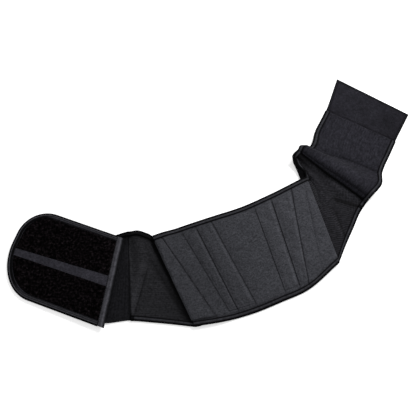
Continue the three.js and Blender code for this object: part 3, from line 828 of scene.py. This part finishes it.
def stay_channel(top, channel, number):
    """Cloth sewn down over a flat stay: flat on top, with a steep right and a softer left side."""
    points, normals, shares = top.strip(channel.left, channel.right, 34, PANEL_EDGE_MARGIN + 1 * MM)
    columns = np.arange(points.shape[1])
    swell = smooth(shares / 0.3) * smooth((1 - shares) / 0.16)
    taper = smooth(np.minimum(columns, columns[::-1]) / 6.0)
    low = CLEARANCE + 0.1 * MM
    up = low + 0.5 * MM + channel.height * MM * swell[:, None] * mix(0.25, 1, taper)
    width = np.linalg.norm(points[0] - points[-1], axis=-1).mean()
    height = np.linalg.norm(points[:, 0] - points[:, -1], axis=-1).mean()
    shade = (mix(channel.left_shade, 1, smooth(shares / 0.06))
             * mix(channel.right_shade, 1, smooth((1 - shares) / 0.07))
             * (1 + 0.25 * bump(shares - 0.84, 0.07)) * lit_towards_right(mix(channel.left[0], channel.right[1], 0.5)))
    piece = shell(f"stay_channel_{number}", points + normals * up[..., None], points + normals * low,
                  shares * width, np.linspace(0, 1, len(columns)) * height, shade[:, None])
    dressed(piece, POCKET, "pocket_cloth", f"stay_pocket_{number}")


def hem_band(top):
    """The folded band at the panel's left end, round its thick edge and sewn down at its seam."""
    points, normals, shares = top.strip(BAND_SEAM[:2], (0.0, 0.0), 26, PANEL_EDGE_MARGIN * 0.75)
    height = np.linalg.norm(points[0, 0] - points[0, -1])
    outward, up = unit(points[-1] - points[-4]), normals[-1]
    angles = np.linspace(0.15, 1, 9) * math.pi
    thick = 3.2 * MM

    def rounded(layer, gap, bulge, drop):
        nose = [layer[-1] + outward * (gap + bulge * math.sin(a)) - up * drop * (1 - math.cos(a)) / 2
                for a in angles]
        return np.concatenate([layer, nose])

    swell = smooth(shares / 0.15)[:, None, None]
    over = rounded(points + normals * (CLEARANCE + 1.1 * MM * swell + 0.5 * MM), 0, thick * 0.62, thick)
    lining = rounded(points + normals * CLEARANCE, 0.4 * MM, thick * 0.3, thick - 1.6 * MM)
    along = distances(over)
    shade = np.concatenate([mix(0.6, 1.0, smooth(shares / 0.12)), np.ones(len(angles))])
    piece = shell("panel_hem_cloth", over, lining, along, np.linspace(0, 1, over.shape[1]) * height,
                  shade[:, None])
    dressed(piece, POCKET, "pocket_cloth", "panel_hem_band")


# Wings, fold and loop end

# How much further along the inner edge the fold's seam ends
SEAM_SKEW = 12 * MM
# Creases: pixels of both ends, height of the surface there, width, and how far it stands up in mm
Crease = namedtuple("Crease", "start end level width height")
CREASE_DARK = 0.45
CREASE_LIGHT = 0.22
LEFT_CREASES = [
    Crease((147, 272), (134, 316), 0.004, 0.0035, -1.8),
    Crease((142, 266), (131, 312), 0.004, 0.007, 2.2),
    Crease((152, 262), (186, 318), 0.004, 0.012, -1.0),
    Crease((128, 250), (131, 300), 0.006, 0.008, 1.2),
]
MESH_CREASES = [
    Crease((336, 199), (358, 206), 0.006, 0.009, -3.6),
    Crease((330, 181), (358, 199), 0.010, 0.009, 3.4),
    Crease((321, 205), (344, 236), 0.004, 0.010, 1.6),
    Crease((336, 212), (346, 238), 0.004, 0.006, -1.4),
    Crease((309, 172), (330, 200), 0.012, 0.012, 1.8),
]
LOOP_CREASES = [
    Crease((307, 149), (343, 157), 0.016, 0.006, -1.0),
    Crease((343, 157), (380, 173), 0.010, 0.007, -1.1),
    Crease((322, 160), (360, 177), 0.030, 0.008, 0.9),
    Crease((330, 128), (384, 152), 0.004, 0.030, 0.9),
]
# Where the mesh wing's upper edge curls back down to the table: pixels with the height there
TURNED_EDGE = [(292.2, 156.5, 0.021), (293.2, 162.5, 0.012), (295.8, 168.0, 0.008),
               (298.2, 173.5, 0.006), (300.8, 180.5, 0.004)]
TURNED_FROM = 0.002
TURNED_TO = 0.078
TURNED_ROWS = 40


def ground_point(pixel, height=0.0):
    """Where a pixel of the photograph meets a level plane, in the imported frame."""
    pitch = FRAME_WIDTH / FRAME_PIXELS / CAMERA_DISTANCE
    side, rise = (pixel[0] - AIM_PIXEL[0]) * pitch, (AIM_PIXEL[1] - pixel[1]) * pitch
    cos, sin = math.cos(CAMERA_ELEVATION), math.sin(CAMERA_ELEVATION)
    y = (rise * (CAMERA_DISTANCE - height * sin) - height * cos) / (sin - rise * cos)
    depth = CAMERA_DISTANCE + y * cos - height * sin
    return np.array([side * depth + CAMERA_TARGET.x, y + CAMERA_TARGET.y])


def near_crease(points, crease, narrow=1.0):
    """1 along a crease and 0 away from it, for each point of a grid."""
    start, end = ground_point(crease.start, crease.level), ground_point(crease.end, crease.level)
    length = np.linalg.norm(end - start)
    forward = (end - start) / length
    reach = points[..., :2] - start
    along = reach @ forward / length
    ends = smooth((along + 0.25) / 0.4) * smooth((1.25 - along) / 0.4)
    return ends * bump(reach @ np.array([-forward[1], forward[0]]), crease.width * narrow)


def crease_shade(points, creases):
    """Darker along the bottom of each crease, lighter on each ridge."""
    shade = 1.0
    for crease in creases:
        if crease.height < 0:
            dark = -crease.height * CREASE_DARK * near_crease(points, crease, 0.35)
            shade = shade * (1 - np.minimum(dark, 0.7))
        else:
            shade = shade * (1 + crease.height * CREASE_LIGHT * near_crease(points, crease))
    return shade


def undulation(along, across, height):
    """The slight unevenness of cloth that has been folded and worn."""
    u, v = np.reshape(along, (-1, 1)), across
    return height / 3 * (np.sin(u * 71 + v * 29) + np.sin(v * 83 - u * 37 + 1.3)
                         + 0.6 * np.sin(u * 163 + v * 121 + 2.1) + 0.5 * np.sin(v * 211 - u * 97 + 0.4))


def taped_cloth(name, lines, thickness, creases, unevenness, shade, both=True):
    """A sheet of the belt between its lines, flat under its tapes and uneven between them."""
    across = lines.grid()
    edge = np.minimum(across, lines.tall() - across) if both else across
    flat, _ = surface(lines, across, CLOTH_UNDER)
    stands = sum(crease.height * MM * near_crease(flat, crease) for crease in creases)
    uneven = (stands + undulation(lines.along, across, unevenness)) * smooth((edge - TAPE_LEG) / (8 * MM))
    low = CLOTH_UNDER + np.maximum(uneven, -CLOTH_UNDER * 0.8)
    over, _ = surface(lines, across, low + thickness)
    under, _ = surface(lines, across, low)
    # Painted shade on the cloth along each tape's inner edge
    sewn = 1 - 0.55 * bump(edge - TAPE_LEG, STITCH_INSET)
    return shell(name, over, under, lines.along, across, sewn * crease_shade(flat, creases) * shade)


def declare_sheet(lines):
    """Works out a sheet's flat width and height between its lines, and does nothing more with them."""
    run = distances((lines.inner + lines.outer) / 2)[-1]
    width, tall = max(abs(lines.along[-1] - lines.along[0]), run), lines.tall()


def turned_down_shade(lines):
    """Painted shade beside the upper tape, where the cloth turns down and away from the light."""
    return 1 - 0.7 * smooth((TAPE_LEG + 6 * MM - lines.grid()) / (5 * MM))


def beside(lines, mark):
    """Darker along a sewn seam across the belt."""
    return 1 - 0.85 * bump(lines.along[:, None] - mark, 2 * MM)


def seam_cover(name, before, after, thickness):
    """Overlocked thread and a soft cord over the butt seam between two sheets."""
    seam = joined(before.part(slice(-4, None)), after.part(slice(0, 4)))
    points, normals = surface(seam, seam.grid(120), CLOTH_UNDER + thickness)
    inside = inside_margin(points, TAPE_LEG + 1 * MM)
    middle = len(points) // 2
    path, up = points[middle, inside], normals[middle, inside]
    aside = unit(np.gradient(points[:, inside], axis=0)[middle]) * 1.5 * MM
    sew(name + "_stitches", "tape", [(path - aside, up), (path + aside, up)], 2.6 * MM, 2.0 * MM)
    path = path + up * 0.2 * MM
    side = unit(np.cross(up, unit(np.gradient(path, axis=0))))[:, None]
    angles = circle(8)[:, None]
    radius = 0.75 * MM * (1 + 0.12 * np.sin(np.arange(len(path)) * 1.9))
    ring = np.cos(angles) * side * 1.3 + np.sin(angles) * up[:, None] * 0.7
    cord = sweep(name + "_bead", path[:, None] + ring * radius[:, None, None], distances(path),
                 circle(8) * 0.75 * MM)
    dressed(cord, DARK_THREAD, "tape")


def tape_wrap(name, lines, edge, mark):
    """The turned-over end of a tape, where two tapes meet at a seam."""
    near = np.abs(lines.along - mark) < 4.2 * MM
    dressed(binding(name, lines.part(near), edge, ELASTIC + 0.7 * MM), SHADED_TAPE, "tape")


def left_side():
    spots = steps(LAP_WIDTH, PITCH)
    seam = left_chain.marks[WING_END]
    wing = joined(lines_at(panel_chain, spots, along=-spots), run_of(left_chain, 0, WING_END))
    insert = run_of(left_chain, WING_END, INSERT_END)
    tapes = [*tape_on("left_wing_upper_tape", joined(wing, insert), "inner", ELASTIC,
                      "left_wing_upper_binding", SHADED_TAPE),
             *tape_on("left_wing_lower_tape", wing, "outer", ELASTIC, "left_wing_lower_binding")]
    # Painted shadow of the panel's raised lap on the wing, strongest right beside the lap
    lap_shadow = 1 - 0.92 * np.exp(-np.maximum(wing.along, 0) / (13 * MM))[:, None]
    cloth = taped_cloth("left_wing_elastic", wing, ELASTIC, LEFT_CREASES, 0.5 * MM,
                        lap_shadow * beside(wing, seam) * turned_down_shade(wing))
    dressed(cloth, ELASTIC_LOOK, "elastic", "left_wing")
    declare_sheet(wing)
    ribbed = taped_cloth("stretch_insert_elastic", insert, ELASTIC, LEFT_CREASES, 0.4 * MM,
                         beside(insert, seam) * turned_down_shade(insert), both=False)
    dressed(ribbed, RIBBED, "ribbed_elastic", "stretch_insert")
    declare_sheet(insert)
    seam_cover("left_seam", wing, insert, ELASTIC)
    tape_wrap("left_seam_wrap", wing, "outer", seam - 2 * MM)
    tape_wrap("insert_corner_wrap", insert, "inner", left_chain.marks[INSERT_END] - 3 * MM)


def steep_fold(inner_spots, outer_spots):
    """The loop panel's lines, with the fold's crest nearer to the seam, as the photograph shows it."""
    lines = lines_at(right_chain, inner_spots, outer_spots)
    nearer = np.interp(right_chain.places(outer_spots), [4, 4.15, 4.35, 5, 6, 8],
                       [4, 4.6, 4.95, 5.38, 6, 8])
    lines.rise[:, 1:] = right_chain.rise(nearer)[:, 1:3]
    beyond = (outer_spots - outer_spots[0]) / MM
    lines.inner[:, 1] += (3.0 * bump(beyond - 24, 9) - 4.5 * bump(beyond - 47, 8)) * MM
    return lines._replace(along=distances(base(lines, lines.tall() / 2)))


def right_side():
    spots = steps(PANEL_LENGTH - LAP_WIDTH, PANEL_LENGTH - PITCH)
    tuck = lines_at(panel_chain, spots, along=spots - PANEL_LENGTH)
    seam = right_chain.marks[MESH_END]
    spots = steps(0, seam)
    wing = joined(tuck, lines_at(right_chain, spots * (1 + SEAM_SKEW / seam), spots))
    wing.inner[:, 0] -= 6.5 * MM * bump(wing.along - 43 * MM, 14 * MM)
    wing.strip[:] -= 8 * MM * bump(wing.along - 72 * MM, 13 * MM)
    foot = seam + np.arange(0, 14 * MM, 0.6 * MM)
    spots = np.concatenate([foot, steps(foot[-1] + PITCH, right_chain.marks[LOOP_END])])
    loops = steep_fold(spots + SEAM_SKEW * (1 - smooth((spots - seam) / (30 * MM))), spots)
    at_seam = smooth((wing.along - seam + 24 * MM) / (24 * MM))[:, None]
    wing.rise[:] = mix(wing.rise, loops.rise[:1], at_seam)
    mesh_side(wing, seam)
    loop_side(loops)
    turned_edge(wing)
    seam_cover("fold_seam", wing, loops, LOOP_CLOTH)
    tape_wrap("fold_seam_wrap", wing, "outer", seam - 2 * MM)
    end_tab(run_of(right_chain, LOOP_END, BELT_END))


def mesh_side(wing, seam):
    tapes = [*tape_on("right_wing_upper_tape", wing, "inner", ELASTIC, "right_wing_upper_binding"),
             *tape_on("right_wing_lower_tape", wing, "outer", ELASTIC, "right_wing_lower_binding")]
    start = right_chain.marks[POCKET_START]
    # Painted shade in the pocket under the fold's inner end, along the wing's upper edge
    pocket = (smooth((wing.along - start) / (seam - start))[:, None]
              * smooth((0.060 - wing.grid()) / 0.050))
    piece = taped_cloth("right_wing_mesh", wing, MESH_CLOTH, MESH_CREASES, 0.5 * MM, 1 - 0.75 * pocket)
    dressed(piece, MESH_LOOK, "mesh_cloth", "right_wing")
    declare_sheet(wing)


def loop_side(loops):
    tapes = [*tape_on("loop_left_tape", loops, "inner", LOOP_CLOTH, "loop_panel_left_binding"),
             *tape_on("loop_right_tape", loops, "outer", LOOP_CLOTH, "loop_panel_right_binding")]
    # Painted shadow at the fold's foot along the seam, a painted highlight on the fold's face above it,
    # then a darker line along its stitching
    seam_light_and_shade = np.interp(loops.along / MM, [0, 9, 11, 15, 17, 19, 22],
                          [0.02, 0.05, 1.5, 1.7, 0.6, 0.8, 1.1])[:, None]
    piece = taped_cloth("loop_panel_pile", loops, LOOP_CLOTH, LOOP_CREASES, 0.5 * MM, seam_light_and_shade)
    dressed(piece, LOOPS, "loop_cloth", "loop_panel")
    declare_sheet(loops)


def turned_edge(wing):
    """The mesh wing's reverse side, seen where its upper edge curls back down, in near-black tape that
    paints its shade.
    """
    tape, _ = edge_path(wing, "inner", -0.5 * MM, 2.6 * MM)
    spots = np.linspace(TURNED_TO, TURNED_FROM, TURNED_ROWS)
    upper = between(spots, wing.along, tape)[:, None]
    marks = np.array([[*ground_point(mark[:2], mark[2]), mark[2]] for mark in TURNED_EDGE])
    places = np.linspace(0, len(marks) - 1, TURNED_ROWS)
    lower = between(places, np.arange(len(marks)), marks)[:, None]
    share = np.linspace(0, 1, 12)
    over = mix(upper, lower, share[:, None])
    over[..., 2] = mix(upper[..., 2], lower[..., 2], share ** 2)
    reach = distances(over.transpose(1, 0, 2))[-1]
    piece = shell("right_wing_turned_edge", over, over - np.array([0, 0, 1.4 * MM]), spots, share * reach)
    dressed(piece, SHADED_TAPE, "tape")


def end_tab(lines):
    """The plain end: two layers with a soft folded edge, a sewn border and a sewn cross seam."""
    across, tall = lines.grid(), lines.tall()
    edge = np.minimum(np.minimum(across, tall - across), (lines.along[-1] - lines.along)[:, None])
    round_off = 1.1 * MM * np.maximum(0, 1 - edge / (2.2 * MM)) ** 2
    sewn = (bump(edge - 5 * MM, 1.1 * MM)
            + bump((lines.along - lines.along[0])[:, None] - 4 * MM, 1.1 * MM))
    uneven = undulation(lines.along, across, 0.35 * MM)
    over, _ = surface(lines, across, END_TAB - round_off - 0.55 * MM * sewn + uneven)
    under, _ = surface(lines, across, round_off)
    # Painted shade on the folded rim and a painted highlight just inside it
    rim_light_and_shade = 1 - 0.95 * bump(edge, 3 * MM) + 0.45 * bump(edge - 4 * MM, 1 * MM)
    # Darker towards the outer edge
    darker_outward = 1.08 - 0.32 * smooth(across / tall * 1.3 - 0.3)
    piece = shell("end_tab_cloth", over, under, lines.along, across,
                  rim_light_and_shade * darker_outward * (1 - 0.6 * np.minimum(sewn, 1)))
    dressed(piece, PLAIN, "plain_cloth", "end_tab")
    declare_sheet(lines)
    rows = [border_path(lines, 5 * MM), border_path(lines, 8.5 * MM)]
    points, normals = surface(lines, lines.grid(90), END_TAB - 0.35 * MM)
    inside = inside_margin(points, 5 * MM)
    at = int(np.searchsorted(lines.along, lines.along[0] + 4 * MM))
    sew("end_tab_stitches", "plain_cloth", [*rows, (points[at, inside], normals[at, inside])])


def border_path(lines, distance):
    """A sewn line along the two sides and the far end of the end tab, a distance inside them."""
    last = int(np.searchsorted(lines.along, lines.along[-1] - distance))
    spots = np.linspace(0, 1, 60) * (lines.tall() - 2 * distance) + distance
    return tuple(np.concatenate([grid[:last, 0], grid[last], grid[:last, -1][::-1]])
                 for grid in surface(lines, spots, END_TAB - 0.35 * MM))


# The closure tab, in its own directions: +X towards the insert, +Y towards the inner edge

def tab_matrix():
    end = lines_at(left_chain, left_chain.marks[[INSERT_SHOWS_FROM]])
    seat = mix(end.inner[0], end.outer[0], TAB_SEAT_SHARE) - heading(TAB_HEADING) * TAB_SEAT_BACK
    tilt = math.atan((TAPE_TOP + CLEARANCE) / (TAB_LENGTH - TAB_OVER_INSERT))
    place = Vector((*seat, math.tan(tilt) * TAB_LENGTH)) + Vector(BELT_OFFSET)
    turn = Matrix.Rotation(math.radians(TAB_HEADING), 4, "Z") @ Matrix.Rotation(-tilt, 4, "Y")
    return np.array(Matrix.Translation(place) @ turn)


TAB_MATRIX = tab_matrix()


def on_tab(*coordinates):
    """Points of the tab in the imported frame."""
    points = np.stack(np.broadcast_arrays(*coordinates), axis=-1)
    return points @ TAB_MATRIX[:3, :3].T + TAB_MATRIX[:3, 3]


def tab_row(x, y, height):
    """A path over the tab at one height, with the directions that stand square to it."""
    return on_tab(x, y, height), np.tile(TAB_MATRIX[:3, 2], (len(x), 1))


def tab_edges(x, inset=0.0):
    """The tab's upper and lower edge at distances along it, with the whole outline moved inward."""
    half = TAB_HEIGHT / 2 - inset
    ahead = x + TAB_LENGTH - inset
    top, low_length = TAB_TOP_CORNER - inset, TAB_LOW_CORNER_LENGTH - inset
    low_height = TAB_LOW_CORNER_HEIGHT - inset
    near_top = np.clip((top - ahead) / top, 0, 1)
    near_low = np.clip((low_length - ahead) / low_length, 0, 1)
    return (half - top + top * np.sqrt(1 - near_top ** 2),
            low_height - half - low_height * np.sqrt(1 - near_low ** 2))


def gap_edges(x):
    """The lower edge of the upper hook pad and the upper edge of the lower one."""
    share = -x / TAB_LENGTH
    middle = -PAD_GAP_DROP * share - PAD_GAP_SHIFT * (1 - share)
    half = mix(PAD_GAP_AT_HEM, PAD_GAP_AT_ROUND, share) / 2
    return middle + half, middle - half


def tab_grid(rows, columns, end, upper_edge, lower_edge, start):
    """A grid over part of the tab: from its round end to a slanted line, between two edges."""
    p = np.linspace(0, 1, rows)[:, None]
    p = p * p * 0.45 + p * 0.55
    x = start + (end - start) * p
    y = mix(upper_edge(x), lower_edge(x), np.linspace(0, 1, columns))
    return x - TAB_END_SLANT * y * p, y


def tab_piece(name, x, y, low, up):
    return shell(name, on_tab(x, y, up), on_tab(x, y, low), x[:, 0], -y)


def tab_cloth():
    x, y = tab_grid(90, 80, 0.0, lambda s: tab_edges(s)[0], lambda s: tab_edges(s)[1], -TAB_LENGTH)
    up = CLOTH_UNDER + ELASTIC + undulation(x[:, 0], y, 0.15 * MM)
    piece = tab_piece("closure_tab_cloth", x, y, CLOTH_UNDER, up)
    dressed(piece, TAB_CLOTH, "plain_cloth", "closure_tab")


def hook_pads():
    low = CLOTH_UNDER + ELASTIC + CLEARANCE
    left = -TAB_LENGTH + PAD_MARGIN
    parts = [
        ("upper", lambda s: tab_edges(s, PAD_MARGIN)[0], lambda s: gap_edges(s)[0], left),
        ("lower", lambda s: gap_edges(s)[1], lambda s: tab_edges(s, PAD_MARGIN)[1], left + 3.3 * MM),
    ]
    for which, top, bottom, start in parts:
        name = f"hook_pad_{which}"
        x, y = tab_grid(96, 48, TAB_COVER_END, top, bottom, start)
        rim = np.minimum(np.minimum(y[:, :1] - y, y - y[:, -1:]), np.minimum(x - x[:1], x[-1:] - x))
        up = low + PAD_BASE * (1 - 0.6 * np.maximum(0, 1 - rim / (1.2 * MM)) ** 2)
        dressed(tab_piece(name + "_base", x, y, low, up), HOOK_BASE, "hooks", name)
        dressed(hook_field(name + "_hooks", top, bottom, start, low + 0.7 * MM), HOOKS, "hooks")
        sides = [(slice(2, -2), 2), (-3, slice(2, -2)), (slice(-3, 1, -1), -3), (2, slice(-3, 1, -1))]
        border = (np.concatenate([grid[side] for side in sides]) for grid in (x, y))
        sew(name + "_stitches", "hooks", [tab_row(*border, low + PAD_BASE)])


# The hooks' spacing and height, their margin, and each one's stations: height, reach and radius
HOOK_PITCH = (2.0 * MM, 1.9 * MM)
HOOK_HEIGHT = 1.25 * MM
HOOK_MARGIN = 1.8 * MM
HOOK_STATIONS = [(0.0, 0.0, 0.34), (0.72, 0.12, 0.26), (1.0, 0.55, 0.22), (0.78, 0.95, 0.12)]


def hook_field(name, top, bottom, start, low):
    """Rows of small bent hooks, joined in one mesh."""
    x, y = np.meshgrid(np.arange(start + 2 * MM, TAB_COVER_END + 0.02, HOOK_PITCH[0]),
                       np.arange(-TAB_HEIGHT / 2, TAB_HEIGHT / 2, HOOK_PITCH[1]), indexing="ij")
    y = y + (np.arange(len(x)) % 2)[:, None] * HOOK_PITCH[1] / 2
    keep = ((y < top(x) - HOOK_MARGIN) & (y > bottom(x) + HOOK_MARGIN)
            & (x < TAB_COVER_END - TAB_END_SLANT * y - HOOK_MARGIN))
    x, y = x[keep], y[keep]
    x = x + random.normal(0, 0.22 * MM, len(x))
    y = y + random.normal(0, 0.22 * MM, len(x))
    lean = random.uniform(0, 2 * math.pi, len(x))
    size = random.uniform(0.75, 1.1, len(x))
    height, forward, radius = np.array(HOOK_STATIONS).T[:, :, None]
    reach = forward * MM * size[:, None, None] * 0.9
    angles = circle(3) + 0.3
    return tubes(name, on_tab(
        x[:, None, None] + np.cos(lean)[:, None, None] * reach + np.cos(angles) * radius * MM,
        y[:, None, None] + np.sin(lean)[:, None, None] * reach + np.sin(angles) * radius * MM,
        low + height * HOOK_HEIGHT * size[:, None, None]))


def tab_outline():
    """The tab's outline from the upper to the lower end of its hem, round the round end."""
    half = TAB_HEIGHT / 2
    slant = TAB_END_SLANT * half
    turn = np.linspace(0, math.pi / 2, 40)
    sin, cos = np.sin(turn), np.cos(turn)
    top, low_length, low_height = TAB_TOP_CORNER, TAB_LOW_CORNER_LENGTH, TAB_LOW_CORNER_HEIGHT
    return np.hstack([
        [np.linspace(TAB_COVER_END - slant, top - TAB_LENGTH, 60)[:-1], np.full(59, half)],
        [top - TAB_LENGTH - top * sin, half - top + top * cos],
        [low_length - TAB_LENGTH - low_length * cos, low_height - half - low_height * sin],
        [np.linspace(low_length - TAB_LENGTH, TAB_COVER_END + slant, 60)[1:], np.full(59, -half)]]).T


def tab_tape():
    path = tab_outline()
    forward = unit(np.gradient(path, axis=0))
    inward = np.stack([-forward[:, 1], forward[:, 0]], axis=1)
    inward[0] = (TAB_END_SLANT, -1)
    inward[-1] = (-TAB_END_SLANT, 1)
    across, up = tape_profile(ELASTIC, crest=0.25 * MM)
    flat = path[:, None] + inward[:, None] * across[:, None]
    shade = mix(RIDGED_SHADE, ROUND_SHADE, smooth((-path[:, :1] - TAB_LENGTH * 0.72) / 0.03))
    dressed(sweep("tab_edge_tape", on_tab(flat[..., 0], flat[..., 1], up), distances(path),
                  around(across, up), shade), LIGHT_TAPE, "tape", "tab_binding")
    sewn = path + inward * (TAPE_LEG - STITCH_INSET)
    sew("tab_tape_stitches", "tape", [tab_row(*sewn.T, tape_height(ELASTIC) + 0.1 * MM)])


def tab_hem():
    """The rolled strip over the tab's straight end, with its raised ridge."""
    across, up = tape_profile(ELASTIC, HEM_WIDTH)[:, OVER_SPOTS:]
    over = np.linspace(HEM_WIDTH, 0.2 * MM, 26)
    top = tape_height(ELASTIC)
    height = top - 0.4 * MM * (over / HEM_WIDTH) ** 12 + 1.5 * MM * bump(over - 3.4 * MM, 2.2 * MM)
    lit = np.interp(over / MM, [0, 1, 2.4, 4, 5.6, 7, 10.5, HEM_WIDTH / MM],
                    [0.5, 1.1, 2.0, 3.6, 2.9, 1.8, 1.8, 0.5])
    shade = np.concatenate([lit, np.full(len(up), 0.3)])
    across, up = np.concatenate([over, across]), np.concatenate([height, up])
    y = np.linspace(TAB_HEIGHT / 2, -TAB_HEIGHT / 2, 110)
    rings = on_tab(-TAB_END_SLANT * y[:, None] - across, y[:, None], up)
    dressed(sweep("tab_hem_roll", rings, -y, around(across, up), shade), LIGHT_TAPE, "tape", "tab_hem")
    sewn = tab_row(-TAB_END_SLANT * y - HEM_WIDTH + 1.4 * MM, y, top - 0.05 * MM)
    sew("tab_hem_stitches", "tape", [sewn])


# Floor, light and camera

def stage():
    mesh = bpy.data.meshes.new("floor")
    mesh.from_pydata([(x * 8, y * 8, -0.3 * MM) for x, y in ((-1, -1), (1, -1), (1, 1), (-1, 1))], [],
                     [(0, 1, 2, 3)])
    floor = linked(bpy.data.objects.new("floor", mesh))
    pale = Look("pale_floor")
    pale.fill(pale.shader, {
        "Base Color": (0.9, 0.9, 0.9, 1), "Roughness": 0.9, "Specular IOR Level": 0.1,
        "Emission Color": (1, 1, 1, 1), "Emission Strength": 0.42})
    mesh.materials.append(pale.material)
    world = bpy.data.worlds.new("studio")
    bpy.context.scene.world = world
    world.use_nodes = True
    world.node_tree.nodes["Background"].inputs["Color"].default_value = (1, 1, 1, 1)
    world.node_tree.nodes["Background"].inputs["Strength"].default_value = 0.42


def softbox(name, place, size, power):
    data = bpy.data.lights.new(name, "AREA")
    data.shape = "SQUARE"
    data.size = size
    data.energy = power
    lamp = linked(bpy.data.objects.new(name, data))
    lamp.location = place
    lamp.rotation_euler = (-Vector(place)).to_track_quat("-Z", "Y").to_euler()


def camera():
    data = bpy.data.cameras.new("camera")
    data.sensor_width = SENSOR
    data.lens = SENSOR / 2 / (FRAME_WIDTH / 2 / CAMERA_DISTANCE)
    data.shift_x = (FRAME_PIXELS / 2 - AIM_PIXEL[0]) / FRAME_PIXELS
    data.shift_y = -(FRAME_PIXELS / 2 - AIM_PIXEL[1]) / FRAME_PIXELS
    data.clip_start, data.clip_end = 0.05, 50
    eye = linked(bpy.data.objects.new("camera", data))
    back = Vector((0, -math.cos(CAMERA_ELEVATION), math.sin(CAMERA_ELEVATION)))
    eye.location = CAMERA_TARGET + back * CAMERA_DISTANCE
    eye.rotation_euler = Euler((math.pi / 2 - CAMERA_ELEVATION, 0, 0))
    bpy.context.scene.camera = eye


camera()
stage()
softbox("key", (0.8, 0.7, 1.15), 0.7, 25.5)
softbox("fill", (-1.6, -0.8, 2.0), 1.8, 12)
bpy.context.scene.view_settings.view_transform = "Standard"

back_panel()
left_side()
right_side()
tab_cloth()
hook_pads()
tab_tape()
tab_hem()
